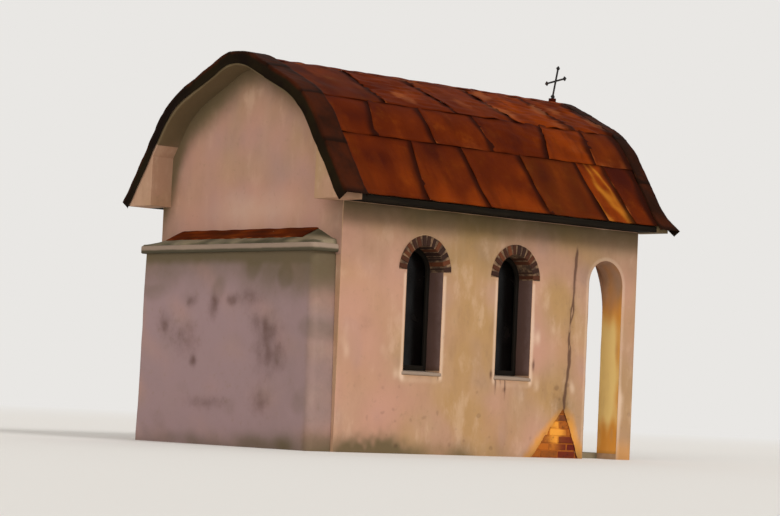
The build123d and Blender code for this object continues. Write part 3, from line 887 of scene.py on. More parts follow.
def apse_surface(sizes):
    """The apse's plaster: its plan, a little wider at the foot, carried up, with a soft unevenness."""
    height = APSE_HIGH.z
    batter = 0.04
    head_half = APSE_HIGH.y - batter
    zs = np.linspace(0, height, 130)
    halves = head_half + (APSE_HIGH.y - head_half) * (1 - zs / height)
    plan = np.stack([np.stack(apse_path(230, EAST - APSE_LOW.x, half), axis=-1) for half in halves])
    spacing = 0.0146
    s, z = np.meshgrid(np.arange(plan.shape[1]) * spacing, zs)
    out = sizes.plaster_coat + sizes.plaster_wave * (swell(s, z, 0.8, 81) + 0.4 * swell(s, z, 0.25, 82))
    out = np.maximum(out, 0.0025)
    x, y = plan[..., 0] + out * plan[..., 2], plan[..., 1] + out * plan[..., 3]
    dark = spots(
        y, z,
        (-0.74, 1.00, 0.28, 0.36, 0.48), (-0.71, 1.20, 0.10, 0.08, 0.25), (-0.50, 1.26, 0.14, 0.09, 0.25),
        (-0.95, 0.86, 0.12, 0.12, 0.15), (0.15, 1.42, 0.10, 0.16, 0.55), (0.52, 1.47, 0.12, 0.08, 0.48),
        (-0.12, 1.46, 0.09, 0.07, 0.5), (-0.39, 1.49, 0.22, 0.12, 0.42), (0.46, 0.84, 0.07, 0.07, 0.45),
        (0.98, 1.23, 0.14, 0.14, 0.42), (0.60, 1.08, 0.32, 0.24, 0.40), (0.20, 0.43, 0.46, 0.10, 0.40),
        (-0.64, 0.44, 0.18, 0.14, 0.42),
    )
    flank = smooth_step(-y, head_half - 0.10, head_half)
    soil = (0.6 + 0.15 * swell(y, z, 0.3, 84)) * fade(z, 0.0, 0.26) + 0.30 * flank
    # Painted shade: the top of the apse darkens towards the ledge, most of all just under it
    soil = soil + 0.70 * smooth_step(z + 0.03 * swell(y, z, 0.5, 87), height - 0.65, height - 0.05)
    soil = soil + 0.55 * smooth_step(z, height - 0.16, height - 0.02)
    soil = soil + 0.30 * smooth_step(-y, -0.1, 1.0) * (1 - 0.4 * flank)
    soil = soil + 0.24 * smooth_step(swell(y, z, 0.5, 89), 0.2, 1.5)
    fields = {
        "damp": 1.12 + 0.14 * swell(y, z, 0.6, 83) - 0.30 * flank - 0.25 * smooth_step(y, 1.1, 1.4),
        "soil": soil,
        "mark": 0.8 * smooth_step(dark * (1 + 0.12 * swell(y, z, 0.16, 85)), -0.1, 0.9) + 0.12 * flank,
        "blush": 0.5 + 0.3 * swell(y, z, 0.4, 86),
        "pale": 0.3 * smooth_step(swell(y, z, 0.45, 88), 0.2, 1.6),
    }
    return grid(x, y, z, (EAST + 0.2, 0.0, 1.0), **fields)


def ledge_surface():
    """The ledge: a slab section with worn edges, carried round the apse in plan, its arrises chipped."""
    low, high = LEDGE_LOW.z, LEDGE_HIGH.z
    path = apse_path(260, EAST - LEDGE_LOW.x, LEDGE_HIGH.y)
    plan_x, plan_y, out_x, out_y = (value[:, None] for value in path)
    inset = np.array([0.10, 0.012, 0.003, 0.001, 0.001, 0.004, 0.014, 0.10])
    height = np.array([low, low, low + 0.009, low + 0.03, high - 0.03, high - 0.010, high - 0.001, high])
    spacing = 0.0128
    run = np.arange(len(plan_x))[:, None] * spacing
    level = height + 0 * run
    chip = 0.004 * smooth_step(swell(run, 9 * level, 0.16, 91), 0.4, 1.6)
    chip = chip + 0.0015 * swell(run, 9 * level, 0.5, 92) + 0.002
    back = inset + chip * (inset < 0.05)
    points = np.stack([plan_x - back * out_x, plan_y - back * out_y, level], axis=-1)
    worn = np.array([0.5, 0.75, 1.0, 1.0, 1.0, 1.0, 1.0, 0.5])
    # Painted shade on the lower part of the ledge's face, darkest at its foot
    soil = np.array([1.6, 1.5, 1.3, 0.6, 0.0, 0.0, 0.1, 0.3])
    return tube(points, worn=worn, soil=soil)


def cap_height(y, slope, half):
    """Height of the cap over its ledge: it rises towards the wall and falls away at both ends."""
    ends = smooth_step(half - np.abs(y), 0.0, 0.34)
    return LEDGE_HIGH.z + 0.012 + (CAP_HIGH.z - LEDGE_HIGH.z - 0.022) * slope * (0.25 + 0.75 * ends)


def cap_surface():
    """The mortar cap: a slope from the ledge up to the wall that is hipped at both ends, and uneven."""
    low = CAP_LOW
    half = CAP_HIGH.y - 2 * CLEAR
    slope = np.concatenate([[-0.02, -0.01], np.linspace(0, 1, 14)])
    across, y = np.meshgrid(slope, np.linspace(-half, half, 190), indexing="ij")
    rise = np.clip(across, 0, 1)
    x = low.x + 2 * CLEAR + (EAST - CLEAR - low.x) * rise
    z = cap_height(y, rise, half) + 0.004 * np.abs(swell(x, y, 0.2, 98))
    z = np.where(across < 0, low.z + 0.002 * (across > -0.015), z)
    z = low.z + (z - low.z) * smooth_step(half - np.abs(y), -0.001, 0.012)
    soil = 0.5 + 0.3 * swell(x, y, 0.3, 99)
    return grid(x, y, z, (EAST, 0.0, 1.0), worn=0.25, soil=soil)


def cap_sheet_surface():
    """The rusty sheet bedded on the cap: it follows the cap's slope, waved, with a lip folded down."""
    low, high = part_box("apse_cap_sheet")
    slope = np.concatenate([[-0.05, -0.02], np.linspace(0, 1, 15)])
    across, y = np.meshgrid(slope, np.linspace(low.y + 0.02, high.y - 0.02, 190), indexing="ij")
    rise = 0.30 + 0.70 * np.clip(across, 0, 1)
    x = low.x + 2 * CLEAR + (EAST - CLEAR - low.x) * rise - 0.004 * (across < 0)
    bed = 0.0075
    wave = 0.003 * (1 + 0.7 * swell(x, y, 0.3, 95))
    z = cap_height(y, rise, CAP_HIGH.y - 2 * CLEAR) + bed + wave + np.minimum(across, 0) * 0.16
    z = np.minimum(z, high.z - 0.001)
    worn = 0.8 * (across < 0.02) * (0.5 + 0.4 * swell(y, across, 0.2, 96))
    tone = 0.5 + 0.25 * swell(y, across, 0.6, 97)
    return grid(x, y, z, (0.0, 0.0, 0.0), tone=tone, worn=worn, olive=0.35)


def sheet_surface(line, top, bottom, left, right, base, look, sizes, seed):
    """One roof sheet, over its two parameters: across from left to right and down from top to bottom.

    Its side edges are straight lines that hook a little at the foot. Its lift off the roof is the
    base of its row, a bulge between the nails, a soft unevenness, and the free left and lower edges
    standing off the sheets below them.
    """
    look = {**PLAIN_LOOK, **look}
    length = abs(bottom - top)
    across = np.linspace(0, 1, max(12, round((right[0] - left[0]) / SHEET_MESH[0])))
    down = np.linspace(0, 1, max(6, round(length / SHEET_MESH[1])))
    v, u = np.meshgrid(down, across, indexing="ij")
    hook = 0.030 * v ** 4
    start = left[0] + (left[1] - left[0]) * v + hook
    end = right[0] + (right[1] - right[0]) * v + hook + SIDE_LAP
    x = start + (end - start) * u
    s = top + (bottom - top) * v
    from_left = x - start
    bulge = sizes.sheet_bulge * (np.sin(np.pi * u) * np.sin(np.pi * v)) ** 0.8
    folds = swell(0.45 * x + 0.3 * s, 1.6 * s, 0.17, seed + 1)
    uneven = 0.0022 * swell(x, s, 0.32, seed) + look["crumple"] * 0.006 * folds
    free = sizes.lap_lift * fade(from_left, 0.0, 0.11) * (0.8 + 0.35 * waver(s, 0.5, seed + 2))
    droop = 0.005 * smooth_step(v, 0.82, 1.0) * (0.6 + 0.8 * waver(x, 0.3, seed + 3))
    quiet = smooth_step(v, 0.0, 0.12)
    lift = base + bulge + quiet * (uneven + 0.004) + free * (0.35 + 0.65 * quiet) + droop
    y, z = line.place(s, np.maximum(lift, 0.001))
    # Painted shade and dirt: dark beside the next sheet's overlapping edge and at the top under the row above
    seam = fade(end - SIDE_LAP - x, 0.0, sizes.seam_shade * (1 + 0.25 * waver(s, 0.4, seed + 6)))
    patch = 0.5 + 0.5 * swell(x, s, 0.25, seed + 4)
    worn = 0.45 * patch * fade(from_left, 0.0, 0.02) + 0.25 * patch * smooth_step(v, 0.95, 1.0)
    slanted = x - 0.3 * (np.abs(s) - abs(top)) + 0.03 * swell(x, s, 0.3, seed + 9)
    gold = look["gold"] * band(swell(slanted, 0.3 * s, 0.34, seed + 8), 0.5, 0.6)
    # Painted shade and light: each sheet darker on its left and lighter towards its right and its foot
    tone = look["tone"] + 0.12 * swell(x, s, 0.45, seed + 5) + 0.15 * (u - 0.4)
    fields = {
        "tone": tone + (0.1 + look["foot"]) * (v - 0.5),
        "olive": look["olive"],
        "lap": np.maximum(seam, 0.75 * fade(v * length, 0.02, 0.13)),
        "worn": worn + look["worn"] * smooth_step(v, 0.6, 1.0) * (0.6 + 0.6 * patch),
        "crest": look["crest"] * smooth_step(swell(x, s, 0.5, seed + 7), -0.2, 1.4) * (1 - 0.4 * v),
        "gold": gold * (0.6 + 0.4 * smooth_step(swell(slanted, s, 0.2, seed + 4), -0.8, 0.8)),
    }
    return grid(x, y, z, **fields)


# Seams of the photographed side, from the east wall: X at the top and at the foot of the row of sheets
LOWER_SEAMS = [(0.97, 0.85), (1.66, 1.71), (2.50, 2.58), (3.34, 3.45), (3.77, 3.87)]
MIDDLE_SEAMS = [(0.65, 0.45), (1.32, 1.28), (2.08, 2.11), (3.13, 2.92), (3.74, 3.64)]
UPPER_SEAMS = [(0.95, 0.85), (1.80, 1.86), (2.62, 2.72), (3.52, 3.60)]

# The looks of those sheets from east to west, as far as they differ from a plain one
PLAIN_LOOK = {"olive": 0.0, "foot": 0.0, "gold": 0.0, "worn": 0.0, "crest": 0.0, "crumple": 0.0}
LOWER_LOOKS = [
    {"tone": 0.42},
    {"tone": 0.45, "olive": 0.2, "foot": 0.5},
    {"tone": 0.55, "olive": 0.15, "foot": 0.3},
    {"tone": 0.50, "olive": 0.35},
    {"tone": 0.85, "gold": 1.1, "worn": 0.2},
    {"tone": 0.30, "worn": 0.2, "foot": 0.3},
]
MIDDLE_LOOKS = [
    {"tone": 0.35},
    {"tone": 0.48},
    {"tone": 0.52, "worn": 0.3, "crest": 0.3},
    {"tone": 0.32, "crumple": 0.6},
    {"tone": 0.80, "crumple": 0.8, "crest": 0.4},
    {"tone": 0.55, "olive": 0.3, "worn": 0.4},
]
UPPER_LOOKS = [
    {"tone": 0.25, "olive": 0.3},
    {"tone": 0.5, "crumple": 1.0, "crest": 0.9},
    {"tone": 0.42, "crumple": 0.6, "crest": 0.6},
    {"tone": 0.75, "crumple": 1.3, "crest": 1.1},
    {"tone": 0.6, "crumple": 1.0, "crest": 0.9, "olive": 0.2},
]


def roof_row(line, side, top, bottom, seams, looks, base, sizes, seed):
    """One row of roof sheets, between pairs of seams; the last one ends at the west wall with its lap."""
    seams = [(EAST + above, EAST + below) for above, below in seams]
    seams[-1] = (WEST - SIDE_LAP, WEST - SIDE_LAP)
    return [
        sheet_surface(line, side * top, side * bottom, left, right, base, look, sizes, seed + 10 * number)
        for number, (left, right, look) in enumerate(zip(seams, seams[1:], looks))
    ]


def even_looks(count, seed):
    """Looks for the sheets of a row that the photograph doesn't show."""
    draw = np.random.default_rng(seed)
    looks = []
    for _ in range(count):
        looks.append({
            "tone": draw.uniform(0.15, 0.85),
            "olive": draw.choice([0.0, 0.3]),
            "worn": draw.uniform(0, 0.5),
            "crumple": draw.uniform(0, 0.9),
            "crest": draw.uniform(0, 0.7),
        })
    return looks


def shifted_seams(seams, seed):
    """Seams for the other side of the roof: the same widths in another order, with other slants."""
    draw = np.random.default_rng(seed)
    widths = draw.permutation(np.diff([top for top, _ in seams]))
    stations = np.concatenate([[0.0], np.cumsum(widths)])
    slants = draw.uniform(-0.09, 0.09, len(stations))
    slants[[0, -1]] = 0.0
    return list(zip(stations, stations + slants))


def cover_surface(line, root, end, rise, foot, flare, flare_height, seed):
    """The folded sheet over one rim.

    Its section is a short fold down to the roof sheets, a flat top, and a fold over the rim's outer
    face with a drip edge. The section is carried over the whole roof line, in lapped lengths that
    each start a little higher. At both feet it hangs past the rim, lifts off it and widens by flare.
    """
    outward = math.copysign(1, end - root)
    width = abs(end - root)
    inner = [(-0.007, 0.012), (-0.007, rise * 0.6), (-0.006, rise + 0.003), (0.0, rise + 0.007)]
    top = [(place, rise + 0.007) for place in np.linspace(0.03, width - 0.03, 7)]
    outer = [(0.002, rise + 0.006), (0.007, rise), (0.007, -0.02), (0.008, -0.068), (0.017, -0.078)]
    profile = np.array(inner + top + [(width + past, lift) for past, lift in outer])
    reach = line.at_height(foot) - 0.001
    s, place = np.meshgrid(np.linspace(-reach, reach, 331), profile[:, 0], indexing="ij")
    lift = np.broadcast_to(profile[:, 1], s.shape)
    piece_length = 0.62
    part = (s + reach) / piece_length % 1
    dent = 0.0025 * swell(s, place, 0.3, seed) + 0.0012 * swell(s, place, 0.09, seed + 1)
    stand_off = 0.012 * smooth_step(np.abs(s), reach - 0.16, reach)
    wavy = 0.006 * waver(s, 0.5, seed + 2) * (lift < -0.01)
    y, z = line.place(s, lift + 0.004 * fade(part, 0.0, 0.6) + dent * (lift > 0.01) + stand_off + wavy)
    low = np.interp(np.abs(s), line.along, line.height) - foot
    spread = flare * np.clip(1 - low / flare_height, 0, 1) ** 1.4 * smooth_step(place, 0.2 * width, width)
    x = root + outward * (place + spread + 0.0015 * swell(s, lift, 0.2, seed + 3))
    fields = {
        "top": smooth_step(lift, rise - 0.01, rise + 0.004),
        "worn": (np.abs(lift - rise) < 0.004) * (0.4 + 0.5 * swell(s, place, 0.2, seed + 4)),
        "lap": band(part, 0.0, 0.10) + 0.6 * band(place, 0.0, 0.03),
    }
    return grid(x, y, z, ((root + end) / 2, 0.0, 1.5), **fields)


def ridge_surfaces(line):
    """The ridge cap: sheets bent over the ridge, each lapping the one to its west."""
    half = line.at_half(0.235)
    lap, highest = 0.03, 0.026
    sheets = []
    for number, (left, right) in enumerate(((0.0, 1.46), (1.46, 2.93), (2.93, 4.22))):
        stations = np.linspace(EAST + left, EAST + right + lap, 66)
        x, s = np.meshgrid(stations, np.linspace(-half, half, 34), indexing="ij")
        off = np.abs(s) / half
        lift = 0.020 + 0.004 * fade(x - x[0], 0, 0.1) + 0.0035 * swell(x, s, 0.2, 61 + number)
        lift = lift + 0.005 * smooth_step(off, 0.75, 1.0) * waver(x, 0.35, 64 + number)
        y, z = line.place(s, np.minimum(lift, highest))
        patch = 0.5 + 0.5 * swell(x, s, 0.3, 67 + number)
        worn = patch * smooth_step(off, 0.85, 1.0) + 0.5 * patch * fade(off, 0.0, 0.5)
        tone = 0.30 + 0.12 * number + 0.15 * swell(x, s, 0.4, 58 + number)
        crest = 0.8 * smooth_step(swell(x, s, 0.5, 54 + number), -0.2, 1.4)
        sheets.append(grid(x, y, z, tone=tone, worn=worn, crest=crest))
    return sheets


def brick_arch(sizes, middle, side, seed):
    """The bricks over one window: header faces set round the half circle, running back into the wall."""
    count = 14
    draw = np.random.default_rng(seed)
    bricks = []
    for number in range(count):
        turn = math.pi * (number + 0.5) / count + draw.normal(0, 0.008)
        radial = np.array([math.cos(turn), 0.0, math.sin(turn)])
        radius = sizes.window_half + sizes.brick_ring / 2 + draw.normal(0, 0.0018)
        place = np.array([middle, 0.0, RING_LOW.z]) + radial * radius
        front = -RING_LOW.y - draw.uniform(0.0, 0.006)
        start = place + np.array([0.0, side * front, 0.0])
        end = place + np.array([0.0, side * (-RING_HIGH.y + 0.01), 0.0])
        width = draw.normal(0.050, 0.0015)
        tone = draw.uniform(0, 0.9)
        bricks.append(bar(start, end, radial, sizes.brick_ring - 0.007, width, 0.006, tone=tone))
    return bricks


def mortar_ring(sizes, middle, side):
    """The mortar between the bricks of one arch: a half ring set back from the brick faces."""
    turn = np.linspace(0.004, math.pi - 0.004, 49)[:, None]
    low, high = sizes.window_half + 0.004, sizes.window_half + sizes.brick_ring - 0.004
    outer, inner = -RING_LOW.y - 0.010, -RING_HIGH.y
    radius = np.array([low, high, high, low]) + 0.0015 * waver(turn, 0.2, 5)
    depth = np.array([outer, outer, inner, inner]) + 0 * turn
    x = middle + radius * np.cos(turn)
    z = RING_LOW.z + radius * np.sin(turn)
    return tube(np.stack([x, side * depth, z], axis=-1))


def skin_depth(a, b, seed):
    """The thin uneven coat inside an opening."""
    return np.maximum(0.002 + 0.0012 * swell(a, b, 0.3, seed), 0.0008)


def window_reveal(x, facing, side):
    """The plaster on one upright side of a window: a thin uneven skin from the wall face in to the frame."""
    low, inner = SILL_HIGH.z, HALF_WIDTH - REVEAL_DEPTH
    depth, z = np.meshgrid(np.linspace(HALF_WIDTH, inner, 14), np.linspace(low, RING_LOW.z, 60))
    out = skin_depth(depth, z, round(1000 * abs(x)))
    # Painted shade in the recess: the reveal is darker all over, more at its foot and deeper in towards the
    # frame
    soil = 0.5 + 0.5 * fade(z, low, low + 0.06)
    mark = 0.6 + 0.5 * fade(depth, inner, HALF_WIDTH)
    core = (x - facing, 0.0, 1.0)
    return grid(x + facing * out, side * depth, z, core, damp=1.1, soil=soil, mark=mark)


def sill_surface(sizes, middle, side):
    """One window sill: a sloping cement slab with a worn nose just proud of the plaster."""
    low, high = SILL_LOW.z, SILL_HIGH.z
    outer, inner = -SILL_LOW.y + 0.009, -SILL_HIGH.y
    reach = sizes.window_half + 0.02
    x = np.linspace(middle - reach, middle + reach, 46)[:, None]
    inside = np.abs(x - middle) < sizes.window_half - 0.001
    section_y = np.array([outer - 0.003, outer, outer - 0.001, outer - 0.006, inner, inner])
    section_z = np.array([low, low + 0.008, low + 0.022, low + 0.031, high, low])
    y = np.where(inside, section_y, np.maximum(section_y, outer - 0.012))
    z = section_z + 0.0012 * swell(x, section_y, 0.1, 15)
    z = np.where(inside, z, np.minimum(z, low + 0.030))
    return tube(np.stack([x + 0 * y, side * y, z], axis=-1), worn=1.0)


def bare_bricks(sizes):
    """The brickwork where the plaster fell off: courses in half bond, cut to the bare triangle."""
    draw = np.random.default_rng(17)
    rows, columns = 8, 5
    course, length, joint = 0.077, 0.25, 0.011
    bricks = []
    for row in range(rows):
        z = 0.038 + row * course
        for column in range(columns):
            first = EAST + BARE_START - 0.1 + (column + 0.5 * (row % 2)) * (length + joint)
            ends = np.clip([first, first + length], EAST + BARE_START - 0.02, EAST + BARE_END + 0.02)
            reach = bare_room(sizes, np.linspace(*ends, 9), np.full(9, z))
            if reach.min() > 0.0 or ends[1] - ends[0] < 0.03:
                continue
            y = 0.03 - (BARE_FLOOR + draw.uniform(0.004, 0.012))
            run = np.linspace(*ends, 5)[:, None] - EAST
            # Orange per brick, partly their own colour and partly painted sunlight; glow is painted sunlight
            fields = {
                "tone": draw.uniform(0.4, 1.0),
                "ochre": draw.uniform(0.3, 0.9),
                "red": 1.3 * smooth_step(run, 3.02, 3.3) * fade(z, 0.06, 0.36),
                "glow": bare_painted_sunlight(run, z, 1.2),
            }
            start, end = (ends[0], y, z), (ends[1], y, z)
            bricks.append(bar(start, end, (0, 0, 1), course - 0.012, 0.06, 0.006, 3, **fields))
    return bricks


def bare_floor(sizes):
    """The mortar behind those bricks: a small flat patch just over the floor of the hollow."""
    height = sizes.bare_height
    x, z = np.meshgrid(np.linspace(EAST + BARE_START, EAST + BARE_END, 60), np.linspace(0, height, 46))
    depth = BARE_FLOOR + 0.002 + 0.001 * swell(x, z, 0.08, 18)
    x = EAST + BARE_PEAK + (x - EAST - BARE_PEAK) * np.clip(1 - z / height, 0.02, 1)
    # Orange and glow: painted sunlight on the mortar
    return grid(x, -depth, z, ochre=0.9, glow=bare_painted_sunlight(x - EAST, z, 1.0))


def arch_skin(middle, half, spring, start, end, seed):
    """The plaster inside an arch: up one side, round the head and down the other, carried through the wall.

    Gives the place across the opening, through the wall and up, and the first and last of them
    again with the skin's thickness added towards the middle of the opening.
    """
    count = 90
    up = np.linspace(REVEAL_FOOT, spring, count)
    turn = np.linspace(math.pi, 0, 48)[1:-1]
    side = np.full(count, half)
    across = middle + np.concatenate([-side, half * np.cos(turn), side])
    height = np.concatenate([up, spring + half * np.sin(turn), up[::-1]])
    through, index = np.meshgrid(np.linspace(start, end, 16), np.arange(len(across)))
    u, z = across[index], height[index]
    out = skin_depth(index * 0.02, through, seed)
    skin_u = u + out * np.clip((middle - u) / half, -1, 1)
    return u, through, z, skin_u, z + out * np.clip((spring - z) / half, -1, 0)


def side_arch_reveal(sizes, side):
    """The plaster inside the porch's side arch, with gold painted sunlight on its west pier."""
    middle = arch_middle(sizes)
    half, spring = sizes.arch_half, sizes.arch_spring
    x, depth, z, skin_x, skin_z = arch_skin(middle, half, spring, HALF_WIDTH, INNER_HALF, 55)
    # Painted sunlight: gold on the west pier, with a brighter glow at middle height and further in
    west = smooth_step(x, middle - 0.05, middle + 0.2)
    streak = 0.15 * swell(depth, z * 0.25, 0.12, 56)
    glow = 1.3 * fade(z, 1.15, 1.8) * smooth_step(z, 0.05, 0.75)
    glow = glow * (0.35 + 0.65 * smooth_step(HALF_WIDTH - depth, 0.0, 0.12)) + streak
    fields = {
        "ochre": west * (1.15 - 0.6 * smooth_step(z, 1.4, 1.8) + streak),
        "glow": glow,
        "blush": 0.5 * (1 - west),
        "soil": 0.6 * fade(z, REVEAL_FOOT, 0.12) + 0.4 * smooth_step(z, 1.45, 1.95),
    }
    return grid(skin_x, side * depth, skin_z, (middle, 0.0, FAR_UP), **fields)


def front_reveal(sizes):
    """The plaster inside the wide arch of the porch front."""
    _, x, z, skin_y, skin_z = arch_skin(0.0, INNER_HALF, sizes.front_spring, PIER_EAST, WEST, 57)
    soil = fade(z, REVEAL_FOOT, 0.2) + 0.5 * smooth_step(z, 1.8, 2.7)
    fields = {"soil": soil, "blush": 0.3, "beige": 0.4 + 0.3 * swell(x, z, 0.5, 58)}
    return grid(x, skin_y, skin_z, (WEST, 0.0, FAR_UP), **fields)


def rim_soffit(line, root, end, seed):
    """The plaster under one rim: a section across it and up its face to the cover, carried over the roof."""
    foot_width, under, count = 0.40, -0.0945, 14
    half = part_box("east_rim")[1].y - foot_width
    reach = line.at_half(half)
    face = end + math.copysign(0.003, end - root)
    section_x = np.append(np.linspace(root, end, count), [face, face])
    section_lift = np.append(np.full(count, under), [under + 0.004, -0.066])
    s, column = np.meshgrid(np.linspace(-reach, reach, 150), np.arange(count + 2), indexing="ij")
    x = section_x[column]
    y, z = line.place(s, section_lift[column] - 0.0010 * swell(s, x, 0.3, seed))
    y = np.minimum(np.abs(y), half - CLEAR) * np.sign(y)
    # Painted shade under the rim, darkest towards the ridge
    soil = 1.5 - 0.9 * smooth_step(np.abs(s), 1.2, 2.0) + 0.15 * swell(s, x, 0.4, seed + 1)
    return grid(x, y, z, (0.0, 0.0, FAR_UP), soil=soil, blush=0.4)


class CHAPEL_OT_frame_finishes(bpy.types.Operator):
    """Give every piece of the frame the finish of its real material."""

    bl_idname = "chapel.frame_finishes"
    bl_label = "Finish the frame"

    def execute(self, context):
        by_slot = {"roof_steel": "sheet", "pane": "glass"}
        slots = {part["node"]: part["material_slot"] for part in frame["record"]["subparts"]}
        for name, node in frame["nodes"].items():
            # The west rim gets the darker plaster, which is painted shade under its overhang as well as dirt
            finish = "shaded_grimy_plaster" if name == "west_rim" else by_slot.get(slots[name], slots[name])
            node.data.materials.clear()
            node.data.materials.append(material_of(finish))
        return {"FINISHED"}


class CHAPEL_OT_wall_plaster(bpy.types.Operator):
    """Lay the uneven plaster on the long walls, the gable, the apse and under the rims."""

    bl_idname = "chapel.wall_plaster"
    bl_label = "Plaster the walls"

    def execute(self, context):
        sizes = context.scene.chapel_sizes
        line = RoofLine(sizes)
        make_piece("north_plaster", [long_wall_plaster(sizes, -1, 11)], "plaster")
        make_piece("south_plaster", [long_wall_plaster(sizes, 1, 23)], "plaster")
        make_piece("gable_plaster", [gable_plaster(sizes, line)], "plaster")
        make_piece("apse_plaster", [apse_surface(sizes)], "plaster")
        for name, root, end, seed in (("east", EAST, EAST_RIM, 74), ("west", WEST, WEST_RIM, 76)):
            make_piece(name + "_rim_plaster", [rim_soffit(line, root, end, seed)], "plaster")
        return {"FINISHED"}


class CHAPEL_OT_bare_patch(bpy.types.Operator):
    """Lay bricks where the plaster fell off."""

    bl_idname = "chapel.bare_patch"
    bl_label = "Bare brick patch"

    def execute(self, context):
        sizes = context.scene.chapel_sizes
        make_piece("bare_patch_bricks", bare_bricks(sizes), "brick", smooth=False)
        make_piece("bare_patch_mortar", [bare_floor(sizes)], "mortar")
        return {"FINISHED"}


class CHAPEL_OT_windows(bpy.types.Operator):
    """Set the brick arches, the sills and the plaster of the reveals at the four windows."""

    bl_idname = "chapel.windows"
    bl_label = "Windows"

    def execute(self, context):
        sizes = context.scene.chapel_sizes
        for side, prefix in SIDES:
            bricks, mortar, sills, reveals = [], [], [], []
            for number, middle in enumerate(window_centres(sizes)):
                bricks += brick_arch(sizes, middle, side, 40 + number + 5 * side)
                mortar.append(mortar_ring(sizes, middle, side))
                sills.append(sill_surface(sizes, middle, side))
                for facing in (-1, 1):
                    reveals.append(window_reveal(middle - facing * sizes.window_half, facing, side))
            make_piece(prefix + "_arch_bricks", bricks, "brick", (prefix + "_window_arches",), smooth=False)
            make_piece(prefix + "_arch_mortar", mortar, "mortar", smooth=False)
            make_piece(prefix + "_sill_slabs", sills, "cement", (prefix + "_window_sills",))
            make_piece(prefix + "_reveal_plaster", reveals, "plaster")
        return {"FINISHED"}


class CHAPEL_OT_porch(bpy.types.Operator):
    """Plaster the west front and the inside of the porch's three arches."""

    bl_idname = "chapel.porch"
    bl_label = "Porch plaster"

    def execute(self, context):
        sizes = context.scene.chapel_sizes
        for side, prefix in SIDES:
            make_piece(prefix + "_porch_reveal", [side_arch_reveal(sizes, side)], "plaster")
        make_piece("front_plaster", [front_plaster(sizes, RoofLine(sizes))], "plaster")
        make_piece("front_reveal", [front_reveal(sizes)], "plaster")
        return {"FINISHED"}


class CHAPEL_OT_apse_top(bpy.types.Operator):
    """Lay the ledge, the mortar cap and the rusty sheet on top of the apse."""

    bl_idname = "chapel.apse_top"
    bl_label = "Apse ledge and sheet"

    def execute(self, context):
        gauge = context.scene.chapel_sizes.sheet_gauge
        make_piece("apse_ledge_slab", [ledge_surface()], "cement", ("apse_ledge",))
        make_piece("apse_mortar_cap", [cap_surface()], "cement", ("apse_cap",))
        make_piece("apse_rusty_sheet", [cap_sheet_surface()], "sheet", ("apse_cap_sheet",), gauge)
        return {"FINISHED"}


class CHAPEL_OT_roof_sheets(bpy.types.Operator):
    """Lay the lapped rows of roof sheets and the ridge cap."""

    bl_idname = "chapel.roof_sheets"
    bl_label = "Roof sheets"

    def execute(self, context):
        sizes = context.scene.chapel_sizes
        gauge = sizes.sheet_gauge
        line = RoofLine(sizes)
        lower_top = line.at_height(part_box("north_lower_sheets")[1].z)
        middle_top = line.at_height(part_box("north_middle_sheets")[1].z)
        # Name, arc length of the top and of the foot, seams, looks, and how high its sheets lie on the roof
        rows = (
            ("lower", lower_top, line.eave + 0.012, LOWER_SEAMS, LOWER_LOOKS, 0.003),
            ("middle", middle_top, lower_top + sizes.row_lap, MIDDLE_SEAMS, MIDDLE_LOOKS, 0.009),
            ("upper", line.at_half(0.19), middle_top + sizes.row_lap, UPPER_SEAMS, UPPER_LOOKS, 0.014),
        )
        for side, prefix in SIDES:
            for number, (name, top, bottom, seams, looks, base) in enumerate(rows):
                seed = 100 * (number + 1) + 50 * side
                seams = [(0.0, 0.0), *seams, (WALL_LENGTH, WALL_LENGTH)]
                if side > 0:
                    seams, looks = shifted_seams(seams, seed), even_looks(len(looks), seed)
                sheets = roof_row(line, side, top, bottom, seams, looks, base, sizes, seed)
                row = f"{prefix}_{name}_"
                make_piece(row + "roofing", sheets, "sheet", (row + "sheets",), gauge)
        make_piece("ridge_capping", ridge_surfaces(line), "sheet", ("ridge_sheets",), gauge)
        return {"FINISHED"}


class CHAPEL_OT_rim_covers(bpy.types.Operator):
    """Fold the dark covers over the two rims."""

    bl_idname = "chapel.rim_covers"
    bl_label = "Rim covers"

    def execute(self, context):
        sizes = context.scene.chapel_sizes
        line = RoofLine(sizes)
        # Name, root and end of the rim, how high it stands over the roof line, flare of its cover, and seed
        ends = (("east", EAST, EAST_RIM, 0.045, 0.0, 201), ("west", WEST, WEST_RIM, 0.015, sizes.flare, 211))
        for name, face, end, rise, flare, seed in ends:
            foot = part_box(name + "_verge")[0].z
            cover = cover_surface(line, face, end, rise, foot, flare, sizes.flare_height, seed)
            make_piece(name + "_rim_cover", [cover], "flashing", (name + "_verge",), sizes.sheet_gauge)
        return {"FINISHED"}


class CHAPEL_OT_eave_boards(bpy.types.Operator):
    """Board the eaves: a fascia along the edge and soffit boards under it."""

    bl_idname = "chapel.eave_boards"
    bl_label = "Eave boards"

    def execute(self, context):
        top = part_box("north_lower_sheets")[0].z
        count, stations, gap = 3, 60, 0.004
        fascia, soffit = 0.024, 0.02
        width = (EAVE_HALF - 0.026 - HALF_WIDTH) / count
        for side, prefix in SIDES:
            y, z = side * (EAVE_HALF - 0.013), (WALL_TOP + top) / 2
            ends = (EAST, y, z), (WEST, y, z)
            height = top - WALL_TOP + 0.004
            boards = [bar(*ends, (0, 0, 1), height, fascia, 0.003, stations, 0.0015, 301 + side)]
            for number in range(count):
                y, z = side * (HALF_WIDTH + (number + 0.5) * width), WALL_TOP + 0.012
                ends = (EAST, y, z), (WEST, y, z)
                wander = stations, 0.001, 310 + number + side
                boards.append(bar(*ends, (0, 1, 0), width - gap, soffit, 0.002, *wander, tone=0.3 * number))
            make_piece(prefix + "_eave_boards", boards, "boards", (prefix + "_eave",), smooth=False)
        return {"FINISHED"}


